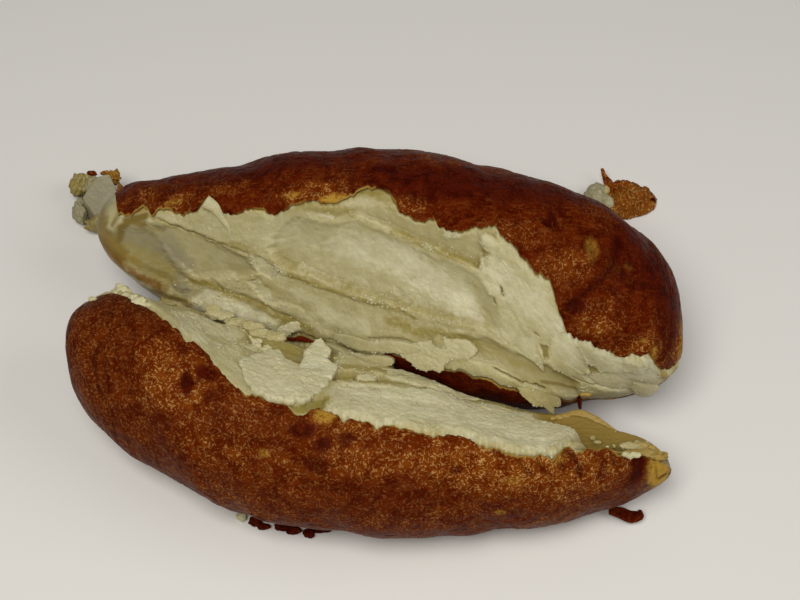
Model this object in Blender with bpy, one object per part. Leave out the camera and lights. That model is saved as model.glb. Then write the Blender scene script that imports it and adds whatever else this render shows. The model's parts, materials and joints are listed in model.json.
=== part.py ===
# A baked potato pulled open lengthwise into two plump halves that lie side by side, with a scrap of
# its skin and a chunk of its flesh fallen on the plate behind it.
# Frame: X runs along the potato, Y points away from the diner and Z is up. The potato rests on z = 0
# and the origin is the bottom centre of its box.
import math

import bmesh
import bpy
import numpy as np

MM = 0.001                      # the dimensions below are in millimetres

# Each half is a row of upright elliptical sections along X, cut by the torn face.
# Columns: x, centre y, centre z, half depth, half height, and the two angles where the torn face
# meets the skin, counted in degrees from the diner's side (0) up over the top (90).
BACK_HALF = (
    (-67.2, 31.0, 23.5, 0.0, 0.0, 70, 0),
    (-63, 30.8, 23.0, 8.5, 8.5, 74, 0),
    (-50, 28.0, 22.5, 14.5, 15.5, 78, -8),
    (-35, 26.0, 23.5, 18.0, 20.0, 79, -14),
    (-15, 23.5, 25.0, 22.5, 24.0, 80, -10),
    (5, 19.5, 26.0, 26.5, 26.4, 84, 3),
    (25, 13.5, 26.0, 28.5, 26.4, 79, 9),
    (35, 11.0, 26.0, 27.5, 26.4, 66, 7),
    (50, 8.5, 25.5, 23.0, 24.0, 34, -8),
    (62, 5.5, 25.0, 18.5, 19.0, 22, -8),
    (68, 4.0, 24.0, 13.0, 12.5, 20, -4),
    (71, 3.0, 23.0, 0.0, 0.0, 20, -4),
)
FRONT_HALF = (
    (-71, -1.0, 21.5, 0.0, 0.0, 140, 150),
    (-69, -2.5, 21.0, 9.5, 11.0, 140, 150),
    (-62, -5.5, 20.0, 15.5, 18.0, 138, 150),
    (-52, -10.0, 20.0, 18.5, 20.5, 122, 152),
    (-40, -15.5, 20.0, 20.5, 21.5, 102, 158),
    (-25, -20.5, 20.0, 21.5, 21.5, 78, 165),
    (-5, -25.0, 19.5, 20.5, 20.5, 76, 165),
    (15, -29.0, 19.0, 16.5, 19.5, 76, 165),
    (35, -30.5, 18.0, 12.5, 18.0, 68, 165),
    (50, -29.5, 17.0, 9.5, 15.5, 70, 165),
    (60, -29.4, 16.3, 6.0, 11.0, 66, 160),
    (65, -29.4, 15.6, 3.2, 5.0, 60, 160),
    (66.8, -29.8, 15.2, 0.0, 0.0, 60, 160),
)
SECTIONS = 40                   # sections along each half
SKIN_POINTS = 32                # points round the skin of a section
FACE_POINTS = 12                # points across its torn face

# Waves that keep the skin from being a perfect round: height, waves along X per mm, lobes, phase.
SKIN_WAVES = ((0.35, 0.030, 2, 0.6), (0.25, 0.055, 3, 2.1), (0.15, 0.090, 5, 4.0))

# The torn face swells a little and has a long hollow and a ledge, all in mm.
CROWN = 1.6
HOLLOW = {"depth": 2.2, "x": 14.0, "length": 34.0, "across": 0.36, "width": 0.20}
LEDGE = {"height": 1.5, "across": 0.62, "slant": 0.0035, "width": 0.07}
FULL_RELIEF_HEIGHT = 14.0       # half height at which the face's relief reaches its full depth

# The loose pieces are low mounds on the plate: centre, half sizes, height, turn and lobed outline.
SKIN_SCRAP = {"x": 65.0, "y": 54.5, "half_x": 9.5, "half_y": 7.0, "height": 6.0, "turn": 14.0,
              "lobes": ((2, 0.10, 0.4), (3, 0.12, 1.9), (5, 0.07, 0.8))}
FLESH_CHUNK = {"x": -72.2, "y": 52.2, "half_x": 6.6, "half_y": 8.2, "height": 16.5, "turn": -8.0,
               "lobes": ((2, 0.08, 2.6), (3, 0.10, 0.7), (4, 0.06, 3.9))}
MOUND_EDGE = 0.10               # least thickness of a mound, as a share of its height
MOUND_RINGS = 7
MOUND_POINTS = 30

SKIN_COLOUR = (0.235, 0.075, 0.018, 1.0)
FLESH_COLOUR = (0.62, 0.55, 0.27, 1.0)


def clear_scene():
    for thing in list(bpy.data.objects):
        bpy.data.objects.remove(thing, do_unlink=True)


def principled(name, colour, roughness):
    material = bpy.data.materials.new(name)
    material.use_nodes = True
    shader = material.node_tree.nodes["Principled BSDF"]
    shader.inputs["Base Color"].default_value = colour
    shader.inputs["Roughness"].default_value = roughness
    shader.inputs["Metallic"].default_value = 0.0
    return material


def smooth_through(xs, ys, x):
    # Monotone cubic curve through the stations: it never swings past a station's own value.
    step = np.diff(xs)
    slope = np.diff(ys) / step
    before, after = slope[:-1], slope[1:]
    turns = before * after <= 0
    weight_a = 2 * step[1:] + step[:-1]
    weight_b = step[1:] + 2 * step[:-1]
    inner = (weight_a + weight_b) / (weight_a / np.where(turns, 1, before)
                                     + weight_b / np.where(turns, 1, after))
    tangent = np.concatenate([slope[:1], np.where(turns, 0, inner), slope[-1:]])
    i = np.clip(np.searchsorted(xs, x) - 1, 0, len(step) - 1)
    t = (x - xs[i]) / step[i]
    return ((1 + 2 * t) * (1 - t) ** 2 * ys[i] + t * (1 - t) ** 2 * step[i] * tangent[i]
            + t * t * (3 - 2 * t) * ys[i + 1] + t * t * (t - 1) * step[i] * tangent[i + 1])


def sections(stations, count):
    # The radii run through the stations as squares, so that the ends close as round tips.
    table = np.array(stations, float)
    xs = table[:, 0]
    middle, reach = (xs[0] + xs[-1]) / 2, (xs[-1] - xs[0]) / 2
    x = middle - reach * np.cos(np.linspace(0, math.pi, count))
    centre_y, centre_z, upper, lower = (smooth_through(xs, table[:, i], x) for i in (1, 2, 5, 6))
    depth, height = (np.sqrt(np.maximum(smooth_through(xs, table[:, i] ** 2, x), 0)) for i in (3, 4))
    return x, centre_y, centre_z, depth, height, np.radians(upper), np.radians(lower)


def skin_waves(x, angle):
    return sum(size * np.sin(rate * x * 2 * math.pi + lobes * angle + phase)
               for size, rate, lobes, phase in SKIN_WAVES)


def face_relief(x, across):
    # Height of the torn face above the straight line between its two rims, in mm.
    swell = CROWN * np.sin(math.pi * across)
    hollow = HOLLOW["depth"] * np.exp(-((x - HOLLOW["x"]) / HOLLOW["length"]) ** 2
                                      - ((across - HOLLOW["across"]) / HOLLOW["width"]) ** 2)
    edge = LEDGE["across"] + LEDGE["slant"] * x
    ledge = LEDGE["height"] / (1 + np.exp(-(across - edge) / LEDGE["width"]))
    fade = np.clip(4 * across * (1 - across), 0, 1)
    return swell - hollow * fade + ledge * fade


def half_rings(stations, outer_side):
    # outer_side is 1 where the skin runs from the upper rim over the far side, and -1 where it runs
    # down the diner's side. Each ring is the skin, then the torn face back to where it began.
    x, cy, cz, depth, height, upper, lower = (column[1:-1, None] for column in sections(stations, SECTIONS))
    turn = lower - upper + outer_side * 2 * math.pi
    skin_angle = upper + turn * np.linspace(0, 1, SKIN_POINTS)
    waves = skin_waves(x, skin_angle) * np.clip(height / FULL_RELIEF_HEIGHT, 0, 1)
    skin_y = cy - (depth + waves) * np.cos(skin_angle)
    skin_z = cz + (height + waves) * np.sin(skin_angle)
    start_y, start_z, end_y, end_z = skin_y[:, -1:], skin_z[:, -1:], skin_y[:, :1], skin_z[:, :1]
    along = np.linspace(0, 1, FACE_POINTS + 2)[1:-1]
    chord_y, chord_z = end_y - start_y, end_z - start_z
    length = np.maximum(np.hypot(chord_y, chord_z), 1e-6)
    relief = face_relief(x, 1 - along) * np.clip(height / FULL_RELIEF_HEIGHT, 0, 1) ** 2
    face_y = start_y + chord_y * along - outer_side * chord_z / length * relief
    face_z = start_z + chord_z * along + outer_side * chord_y / length * relief
    ring_y = np.concatenate([skin_y, face_y], axis=1)
    ring_z = np.maximum(np.concatenate([skin_z, face_z], axis=1), 0)
    return np.stack([np.broadcast_to(x, ring_y.shape), ring_y, ring_z], axis=-1) * MM


def closed_solid(name, rings, first_pole, last_pole, materials, face_material):
    # Rings of points joined by quads and closed by a fan at each pole.
    mesh = bpy.data.meshes.new(name)
    build = bmesh.new()
    loops = [[build.verts.new(point) for point in ring] for ring in rings]
    count = len(loops[0])
    for near, far in zip(loops, loops[1:]):
        for i in range(count):
            j = (i + 1) % count
            face = build.faces.new((near[i], near[j], far[j], far[i]))
            face.material_index = face_material(i)
    for pole, ring in ((first_pole, loops[0]), (last_pole, loops[-1])):
        tip = build.verts.new(pole)
        for i in range(count):
            face = build.faces.new((tip, ring[i], ring[(i + 1) % count]))
            face.material_index = face_material(i)
    bmesh.ops.recalc_face_normals(build, faces=build.faces)
    build.to_mesh(mesh)
    build.free()
    for material in materials:
        mesh.materials.append(material)
    mesh.shade_smooth()
    mesh.set_sharp_from_angle(angle=math.radians(50))
    thing = bpy.data.objects.new(name, mesh)
    bpy.context.scene.collection.objects.link(thing)
    return thing


def potato_half(name, stations, outer_side, materials):
    rings = half_rings(stations, outer_side)
    first_pole, last_pole = (np.array(stations[end][:3]) * MM for end in (0, -1))
    return closed_solid(name, rings, first_pole, last_pole, materials,
                        lambda i: 0 if i < SKIN_POINTS - 1 else 1)


def mound(name, shape, crest, material):
    # A low lump with a lobed outline and a flat underside. crest shapes its height from the distance
    # to the middle and the bearing.
    bearing = np.linspace(0, 2 * math.pi, MOUND_POINTS, endpoint=False)
    outline = 1 + sum(size * np.sin(lobes * bearing + phase) for lobes, size, phase in shape["lobes"])
    turn = math.radians(shape["turn"])

    def ring(share, z):
        east = shape["half_x"] * outline * share * np.cos(bearing)
        north = shape["half_y"] * outline * share * np.sin(bearing)
        x = shape["x"] + east * math.cos(turn) - north * math.sin(turn)
        y = shape["y"] + east * math.sin(turn) + north * math.cos(turn)
        return np.stack([x, y, np.broadcast_to(z, x.shape)], axis=-1) * MM

    rings = [ring(0.88, 0.0)]
    for share in np.linspace(1, 0, MOUND_RINGS + 1)[:-1]:
        rings.append(ring(share, shape["height"] * np.maximum(crest(share, bearing), MOUND_EDGE)))
    top = shape["height"] * float(crest(0.0, np.zeros(1))[0])
    foot = np.array((shape["x"], shape["y"], 0)) * MM
    peak = np.array((shape["x"], shape["y"], top)) * MM
    return closed_solid(name, rings, foot, peak, [material], lambda i: 0)


def scrap_crest(share, bearing):
    # A curled sheet: domed, with one side lifted where the torn flesh sits under it.
    return 0.16 + 0.66 * (1 - share ** 2) - 0.18 * share * np.cos(bearing)


def chunk_crest(share, bearing):
    # A wedge: low towards the diner, high at the far side.
    return 0.24 + 0.36 * (1 - share ** 2) + 0.44 * share * np.sin(bearing)


def stand_on_origin(things):
    # Moves every mesh so that the box round them all has its bottom centre at the origin.
    points = np.concatenate([np.array([v.co for v in thing.data.vertices]) for thing in things])
    low, high = points.min(axis=0), points.max(axis=0)
    shift = -np.array(((low[0] + high[0]) / 2, (low[1] + high[1]) / 2, low[2]))
    for thing in things:
        for vertex in thing.data.vertices:
            vertex.co = np.array(vertex.co) + shift


def main():
    clear_scene()
    skin = principled("potato_skin", SKIN_COLOUR, 0.38)
    flesh = principled("potato_flesh", FLESH_COLOUR, 0.62)
    things = [
        potato_half("half_back", BACK_HALF, 1, [skin, flesh]),
        potato_half("half_front", FRONT_HALF, -1, [skin, flesh]),
        mound("skin_scrap", SKIN_SCRAP, scrap_crest, skin),
        mound("flesh_chunk", FLESH_CHUNK, chunk_crest, flesh),
    ]
    stand_on_origin(things)


main()
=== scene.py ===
import json
import math

import bpy
import numpy as np
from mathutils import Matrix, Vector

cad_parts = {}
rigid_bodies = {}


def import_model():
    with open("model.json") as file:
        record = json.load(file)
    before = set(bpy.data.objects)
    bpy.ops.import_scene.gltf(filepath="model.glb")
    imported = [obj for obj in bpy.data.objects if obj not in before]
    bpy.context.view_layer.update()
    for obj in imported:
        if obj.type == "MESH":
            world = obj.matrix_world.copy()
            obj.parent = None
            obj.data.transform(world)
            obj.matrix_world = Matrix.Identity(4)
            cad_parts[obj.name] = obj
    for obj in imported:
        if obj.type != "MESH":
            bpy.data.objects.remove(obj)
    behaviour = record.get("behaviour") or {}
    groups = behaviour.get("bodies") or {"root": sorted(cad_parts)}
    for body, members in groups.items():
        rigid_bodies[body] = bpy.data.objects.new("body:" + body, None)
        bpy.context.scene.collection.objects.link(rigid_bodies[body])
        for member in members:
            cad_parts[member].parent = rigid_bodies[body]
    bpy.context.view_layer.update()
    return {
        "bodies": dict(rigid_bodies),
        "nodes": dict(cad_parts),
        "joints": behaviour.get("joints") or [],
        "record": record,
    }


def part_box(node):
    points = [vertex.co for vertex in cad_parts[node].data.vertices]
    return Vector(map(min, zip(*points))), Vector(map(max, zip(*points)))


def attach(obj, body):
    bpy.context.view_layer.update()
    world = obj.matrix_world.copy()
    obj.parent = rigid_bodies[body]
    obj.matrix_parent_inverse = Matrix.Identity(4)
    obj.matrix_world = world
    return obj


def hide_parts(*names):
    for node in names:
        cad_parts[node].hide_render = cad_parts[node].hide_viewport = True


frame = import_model()
mm = 0.001


# columns: x, centre y, centre z, half depth, half height, upper rim angle, lower rim angle
# (mm, and degrees from the diner's side up over the top)
backHalf = {
    "name": "half_back", "outerSide": 1, "seed": 11, "warmth": 0.0,
    "stations": (
        (-67.2, 31.0, 23.5, 0.0, 0.0, 70, 0), (-63, 30.8, 23.0, 8.5, 8.5, 74, 0),
        (-50, 28.0, 22.5, 14.5, 15.5, 78, -8), (-35, 26.0, 23.5, 18.0, 20.0, 79, -14),
        (-15, 23.5, 25.0, 22.5, 24.0, 80, -10), (5, 19.5, 26.0, 26.5, 26.4, 84, 3),
        (25, 13.5, 26.0, 28.5, 26.4, 79, 9), (35, 11.0, 26.0, 27.5, 26.4, 66, 7),
        (50, 8.5, 25.5, 23.0, 24.0, 34, -8), (62, 5.5, 25.0, 18.5, 19.0, 22, -8),
        (68, 4.0, 24.0, 13.0, 12.5, 20, -4), (71, 3.0, 23.0, 0.0, 0.0, 20, -4),
    ),
    # how far the skin reaches past the upper corner on to the face, in mm, at places along x
    "upperTear": ((-67.2, -19), (-64.2, -17), (-62.2, -8), (-60.6, -1.0), (-58.5, -0.2), (-54.5, -1.4),
                  (-51, 0.2), (-41, 0.5), (-38.5, -2.6), (-35.5, 0.2), (-27, 1.6), (-16, 0.2), (-8, -0.4),
                  (-4, -2.2), (-0.5, -3.8), (3, -2.6), (5.5, 2.4), (9, 2.8), (13, 1.6), (17, 1.4),
                  (22, -1.2), (26, -2.9), (29.5, -2.0), (34, 0.2), (37.6, -1.2), (39.6, 3.0), (41.5, 5.0),
                  (46, 3.4), (50, 1.2), (55, -0.2), (60, -1.4), (63.5, 3.0), (71, 0.5)),
    "lowerTear": ((-67.2, -6), (-58, -7.5), (-50, -6.5), (-44, -4.5), (-40, -4.0), (0, -3.5), (2.5, 0.2),
                  (10, -0.8), (20, 0.2), (27, -0.8), (32, -2.5), (44, -3.0), (50, -5.5), (64, -5.5),
                  (68, -2), (71, 0)),
}
frontHalf = {
    "name": "half_front", "outerSide": -1, "seed": 47, "warmth": 0.22,
    "stations": (
        (-71, -1.0, 21.5, 0.0, 0.0, 140, 150), (-69, -2.5, 21.0, 9.5, 11.0, 140, 150),
        (-62, -5.5, 20.0, 15.5, 18.0, 138, 150), (-52, -10.0, 20.0, 18.5, 20.5, 122, 152),
        (-40, -15.5, 20.0, 20.5, 21.5, 102, 158), (-25, -20.5, 20.0, 21.5, 21.5, 78, 165),
        (-5, -25.0, 19.5, 20.5, 20.5, 76, 165), (15, -29.0, 19.0, 16.5, 19.5, 76, 165),
        (35, -30.5, 18.0, 12.5, 18.0, 68, 165), (50, -29.5, 17.0, 9.5, 15.5, 70, 165),
        (60, -29.4, 16.3, 6.0, 11.0, 66, 160), (65, -29.4, 15.6, 3.2, 5.0, 60, 160),
        (66.8, -29.8, 15.2, 0.0, 0.0, 60, 160),
    ),
    "upperTear": ((-71, 0), (-64, 1.4), (-58, 2.0), (-52, 1.6), (-48.5, 0.4), (-45, -0.4), (-38, 0.6),
                  (-30, -0.2), (-22, 0.4), (-16, -1.2), (-12.5, 1.2), (-10, 2.4), (-7, 0.2), (0, -0.4),
                  (8, 0.6), (16, 0.8), (24, 0.2), (31, -0.6), (38, -0.3), (41, 3.2), (43, 1.0), (50, 0.8),
                  (60, 0.2), (66.8, 0)),
    "lowerTear": ((-71, 0), (-60, -1.5), (-50, -4.5), (30, -4.5), (40, -4.5), (47, -4), (60, -3),
                  (66.8, 0.0)),
}
# height, per mm, lobes, phase
skinWaves = ((0.35, 0.030, 2, 0.6), (0.25, 0.055, 3, 2.1), (0.15, 0.090, 5, 4.0))
fullHeight = 14.0           # half height at which relief reaches its full depth
# points of a loop on the skin and on the face, the width of its rounded corners and the points they take up
loopCounts = {"skin": 420, "face": 220, "rounding": 7.0, "corner": 20}

slopeTable = np.random.default_rng(5).normal(size=(256, 3))
slopeTable /= np.linalg.norm(slopeTable, axis=1, keepdims=True)


def scramble(cell, seed):
    # turns whole-number cells into even, repeatable random whole numbers
    mask = 0xFFFFFFFF
    h = (cell[..., 0] * 73856093) ^ (cell[..., 1] * 19349663) ^ (cell[..., 2] * 83492791) ^ (seed * 7919)
    h = h & mask
    h = ((h ^ (h >> 16)) * 0x45D9F3B) & mask
    h = ((h ^ (h >> 16)) * 0x45D9F3B) & mask
    return h ^ (h >> 16)


def smoothNoise(points, seed):
    # gradient noise, about -1 to 1: a random slope at each cell corner, blended by a smooth curve
    cell = np.floor(points).astype(np.int64)
    part = points - cell
    blend = part ** 3 * (part * (part * 6 - 15) + 10)
    total = 0.0
    for corner in range(8):
        step = np.array([(corner >> axis) & 1 for axis in range(3)])
        slope = slopeTable[scramble(cell + step, seed) & 255]
        weight = np.prod(np.where(step == 1, blend, 1 - blend), axis=-1)
        total = total + weight * np.sum(slope * (part - step), axis=-1)
    return total * 1.6


def fractalNoise(points, seed, octaves=4, gain=0.5):
    # sum of smooth noises, each twice as fine and gain times as high as the one before
    total, size, reach = 0.0, 1.0, 0.0
    for octave in range(octaves):
        total = total + size * smoothNoise(points * 2.0 ** octave, seed + 17 * octave)
        reach += size
        size *= gain
    return total / reach


def cellNoise(points, seed):
    # distance to the nearest and second nearest of random points, one in each cell, and a random
    # value 0 to 1 that belongs to the nearest one
    cell = np.floor(points).astype(np.int64)
    near = np.full(points.shape[:-1], 9.0)
    second = near.copy()
    owner = near.copy()
    flat = 1 if np.ptp(points[..., 2]) > 0 else 0
    for dx in (-1, 0, 1):
        for dy in (-1, 0, 1):
            for dz in range(-flat, flat + 1):
                spot = cell + np.array((dx, dy, dz))
                h = scramble(spot, seed)
                jitter = np.stack([(h & 1023), (h >> 10) & 1023, (h >> 20) & 1023], -1) / 1023.0
                if not flat:
                    jitter[..., 2] = 0
                gap = np.linalg.norm((spot - points) * np.array((1, 1, flat)) + jitter, axis=-1)
                closer = gap < near
                second = np.where(closer, near, np.minimum(second, gap))
                owner = np.where(closer, (h >> 5) % 997 / 997.0, owner)
                near = np.where(closer, gap, near)
    return near, second, owner


def smoothStep(low, high, value):
    t = np.clip((value - low) / (high - low), 0, 1)
    return t * t * (3 - 2 * t)


def unit(vectors):
    return vectors / np.maximum(np.linalg.norm(vectors, axis=-1, keepdims=True), 1e-9)


def ringedMesh(name, rings, firstPole, lastPole, attributes=None):
    # closed surface: rows of points round a loop, joined by quads, with a fan to a pole at each end
    rows, columns = rings.shape[:2]
    points = np.concatenate([rings.reshape(-1, 3), [firstPole, lastPole]])
    index = np.arange(rows * columns).reshape(rows, columns)
    after = np.roll(index, -1, axis=1)
    quads = np.stack([index[:-1], after[:-1], after[1:], index[1:]], axis=-1).reshape(-1, 4)
    first, last = rows * columns, rows * columns + 1
    fans = np.concatenate([
        np.stack([np.full(columns, first), after[0], index[0]], axis=-1),
        np.stack([np.full(columns, last), index[-1], after[-1]], axis=-1)])
    a, b, c, d = (points[quads[:, i]] for i in range(4))
    volume = np.sum(np.cross(a, b) * c) + np.sum(np.cross(a, c) * d)
    if volume < 0:
        quads, fans = quads[:, ::-1], fans[:, ::-1]
    return facesMesh(name, points, quads, fans, attributes)


def facesMesh(name, points, quads, triangles, attributes=None):
    mesh = bpy.data.meshes.new(name)
    mesh.vertices.add(len(points))
    mesh.vertices.foreach_set("co", np.asarray(points, np.float32).ravel())
    corners = np.concatenate([quads.ravel(), triangles.ravel()]).astype(np.int32)
    mesh.loops.add(len(corners))
    mesh.loops.foreach_set("vertex_index", corners)
    totals = np.concatenate([np.full(len(quads), 4), np.full(len(triangles), 3)]).astype(np.int32)
    mesh.polygons.add(len(totals))
    mesh.polygons.foreach_set("loop_start", np.concatenate([[0], np.cumsum(totals)[:-1]]).astype(np.int32))
    mesh.polygons.foreach_set("loop_total", totals)
    mesh.polygons.foreach_set("use_smooth", np.ones(len(totals), bool))
    mesh.update(calc_edges=True)
    mesh.validate()
    for key, values in (attributes or {}).items():
        layer = mesh.attributes.new(key, "FLOAT", "POINT")
        layer.data.foreach_set("value", np.asarray(values, np.float32).ravel())
    piece = bpy.data.objects.new(name, mesh)
    bpy.context.scene.collection.objects.link(piece)
    return piece


def throughStations(xs, ys, x):
    # monotone cubic curve through the stations
    step = np.diff(xs)
    slope = np.diff(ys) / step
    before, after = slope[:-1], slope[1:]
    turns = before * after <= 0
    weightA = 2 * step[1:] + step[:-1]
    weightB = step[1:] + 2 * step[:-1]
    inner = (weightA + weightB) / (weightA / np.where(turns, 1, before)
                                   + weightB / np.where(turns, 1, after))
    tangent = np.concatenate([slope[:1], np.where(turns, 0, inner), slope[-1:]])
    i = np.clip(np.searchsorted(xs, x) - 1, 0, len(step) - 1)
    t = (x - xs[i]) / step[i]
    return ((1 + 2 * t) * (1 - t) ** 2 * ys[i] + t * (1 - t) ** 2 * step[i] * tangent[i]
            + t * t * (3 - 2 * t) * ys[i + 1] + t * t * (t - 1) * step[i] * tangent[i + 1])


def sectionAt(half, x):
    table = np.array(half["stations"], float)
    xs = table[:, 0]
    centreY, centreZ, upper, lower = (throughStations(xs, table[:, i], x) for i in (1, 2, 5, 6))
    depth, height = (np.sqrt(np.maximum(throughStations(xs, table[:, i] ** 2, x), 0)) for i in (3, 4))
    return centreY, centreZ, depth, height, np.radians(upper), np.radians(lower)


def evenRows(half, spacing):
    # x of the rows, evenly spaced along the outline from tip to tip, without the two poles
    xs = [row[0] for row in half["stations"]]
    x = (xs[0] + xs[-1]) / 2 - (xs[-1] - xs[0]) / 2 * np.cos(np.linspace(0, math.pi, 6000))
    radius = sum(sectionAt(half, x)[2:4]) / 2
    length = np.concatenate([[0], np.cumsum(np.hypot(np.diff(x), np.diff(radius)))])
    count = int(length[-1] / spacing)
    return np.interp(np.linspace(0, length[-1], count + 2)[1:-1], length, x)


def halfLoops(half, x):
    # The section at each x as a closed loop of points: the skin's arc from the upper to the lower rim,
    # then the straight face back, with its corners rounded. Returns points and outward directions in mm.
    cy, cz, depth, height, upper, lower = (column[:, None] for column in sectionAt(half, x))
    turn = lower - upper + half["outerSide"] * 2 * math.pi
    angle = upper + turn * np.linspace(0, 1, loopCounts["skin"])
    along = x[:, None] * 2 * math.pi
    waves = sum(size * np.sin(rate * along + lobes * angle + phase)
                for size, rate, lobes, phase in skinWaves)
    waves = waves * np.clip(height / fullHeight, 0, 1)
    skinY = cy - (depth + waves) * np.cos(angle)
    skinZ = cz + (height + waves) * np.sin(angle)
    share = np.linspace(0, 1, loopCounts["face"] + 2)[1:-1]
    faceY = skinY[:, -1:] + (skinY[:, :1] - skinY[:, -1:]) * share
    faceZ = skinZ[:, -1:] + (skinZ[:, :1] - skinZ[:, -1:]) * share
    loop = np.stack([np.concatenate([skinY, faceY], 1), np.concatenate([skinZ, faceZ], 1)], -1)
    wave = np.fft.rfftfreq(loop.shape[1])[None, :, None]
    blur = np.exp(-2 * (math.pi * loopCounts["rounding"] * wave) ** 2)
    loop = np.fft.irfft(np.fft.rfft(loop, axis=1) * blur, n=loop.shape[1], axis=1)
    points = np.concatenate([np.broadcast_to(x[:, None, None], loop.shape[:2] + (1,)), loop], -1)
    alongX = np.gradient(points, axis=0)
    around = np.roll(points, -1, 1) - np.roll(points, 1, 1)
    outward = unit(np.cross(alongX, around))
    middle = points.mean(axis=1, keepdims=True)
    if np.sum((points - middle) * outward) < 0:
        outward = -outward
    return points, outward


def alongLoop(loops, place):
    # reads a loop at fractional places, wrapping round
    count = loops.shape[1]
    low = np.floor(place).astype(int)
    part = (place - low)[..., None]
    rows = np.arange(len(loops))[:, None]
    return loops[rows, low % count] * (1 - part) + loops[rows, (low + 1) % count] * part


tearLook = {"bays": 1.5, "notches": 1.3, "teeth": 1.0, "fray": 0.55, "meanTooth": 0.28, "noiseShift": 3.7}


def tearLine(half, x, rim, which):
    # how far the torn skin reaches past the corner, in mm: the named outline, made uneven at four sizes
    # along the rim itself
    outline = np.array(half[which], float)
    reach = np.interp(x, outline[:, 0], outline[:, 1])
    seed = half["seed"] + (0 if which == "upperTear" else 5)
    line = rim + tearLook["noiseShift"]
    teeth = np.abs(smoothNoise(line / 1.6, seed + 2)) - tearLook["meanTooth"]
    uneven = (tearLook["bays"] * smoothNoise(line / 6.5, seed)
              + tearLook["notches"] * smoothNoise(line / 2.9, seed + 1)
              + tearLook["teeth"] * teeth + tearLook["fray"] * smoothNoise(line / 0.8, seed + 3))
    return reach + uneven


def loopSteps(points):
    # mm between neighbouring points of the loop, on the skin and on the face, for each row
    gaps = np.linalg.norm(np.diff(points, axis=1), axis=-1)
    corner, count = loopCounts["corner"], loopCounts["skin"]
    skinStep = np.maximum(gaps[:, corner:count - corner].mean(1), 1e-4)
    faceStep = np.maximum(gaps[:, count + corner:-corner].mean(1), 1e-4)
    return skinStep, faceStep


def tearPlaces(half, x, points):
    # the two torn edges as places on the loop
    skinStep, faceStep = loopSteps(points)
    upper = tearLine(half, x, points[:, 0], "upperTear")
    lower = tearLine(half, x, points[:, loopCounts["skin"] - 1], "lowerTear")
    radius = sectionAt(half, x)[3]
    upper, lower = (reach * np.clip(radius / 9, 0, 1) for reach in (upper, lower))
    start = -upper / np.where(upper > 0, faceStep, skinStep)
    stop = loopCounts["skin"] - 1 + lower / np.where(lower > 0, faceStep, skinStep)
    limit = loopCounts["face"] * 0.42
    return np.maximum(start, -limit), np.minimum(stop, loopCounts["skin"] - 1 + limit), skinStep, faceStep



# the halves' own frame is set into the row's frame by matching one box with the CAD's
def ownFrameShift():
    x = evenRows(backHalf, 1.0)
    points = halfLoops(backHalf, x)[0]
    low, high = points.min(axis=(0, 1)), points.max(axis=(0, 1))
    cadLow, cadHigh = (np.array(corner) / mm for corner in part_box("half_back"))
    shift = (cadLow + cadHigh - low - high) / 2
    shift[0] = cadHigh[0] - backHalf["stations"][-1][0]
    shift[2] = 0
    return shift


placeShift = ownFrameShift()
print("shape of the halves ready, own frame moved by", np.round(placeShift, 2), "mm")


def toRow(points):
    return (points + placeShift) * mm


skinLook = {
    "rowSpacing": 0.42, "columns": 195, "innerColumns": 26, "thickness": 0.6, "tornThickness": 0.22,
    "curl": 0.16, "dimples": 0.42, "wrinkles": 0.20, "pimples": 0.07, "creases": 0.14, "dimpleSize": 9.0,
    "wrinkleSize": (7.0, 2.6, 2.6), "patchSize": 16.0, "creaseSize": 3.4, "pimpleSize": 1.6,
    "deepest": -0.40, "deepestFold": -0.50, "curlReach": 1.1,
}
# eyes and pits of the skin: x, angle, radius, depth and lip, in mm and degrees
backEyes = (
    (3.3, 107, 1.6, 0.5, 0.15), (38.2, 94.2, 1.4, 0.9, 0.35), (47, 85, 1.6, 0.35, 0.45),
    (-20, 150, 1.6, 0.7, 0.3), (18, 190, 2.0, 0.8, 0.3), (-40, 220, 1.5, 0.6, 0.2),
    (52, 170, 1.8, 0.8, 0.3), (0, 250, 1.7, 0.7, 0.2),
)
frontEyes = (
    (-40, 73.5, 1.4, 0.8, 0.15), (-36.5, 84, 2.4, 0.35, 0.1), (17, 52, 1.4, 0.5, 0.2),
    (-11, 59, 2.0, 0.35, 0.1), (-55, 20, 1.5, 0.5, 0.2), (30, -20, 1.6, 0.6, 0.2),
    (-25, -10, 1.8, 0.7, 0.3),
)
# folds of the skin: a line of (x, angle), half width and rise in mm
backFolds = (
    (((53.5, 98), (52.6, 84), (50.6, 73), (46.5, 62), (41.5, 53)), 0.8, -0.7),
    (((55.2, 98), (54.6, 82), (52.4, 70), (48.4, 59)), 1.1, 0.35),
    (((51.0, 94), (50.4, 84), (48.4, 74), (45, 65)), 1.0, 0.25),
    (((66.4, 44), (67.2, 25), (67.2, 6)), 0.5, -0.5), (((68.6, 40), (69.2, 25), (69.2, 8)), 1.0, 0.5),
    (((46.8, 86.2), (47.3, 84.5), (47.0, 82.8)), 0.38, -1.5), (((48.6, 80), (49.3, 77)), 0.5, 0.3),
    (((37.0, 94.6), (37.8, 93.2), (39.0, 93.4), (39.6, 94.6)), 0.7, -1.8),
    (((2.4, 107.5), (4, 106.5)), 0.5, -0.4), (((50.2, 81), (51.6, 79.2)), 0.45, 0.35),
    (((41, 92), (42.4, 90)), 0.4, 0.3), (((55, 72), (56, 66)), 0.5, 0.25),
)
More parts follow.
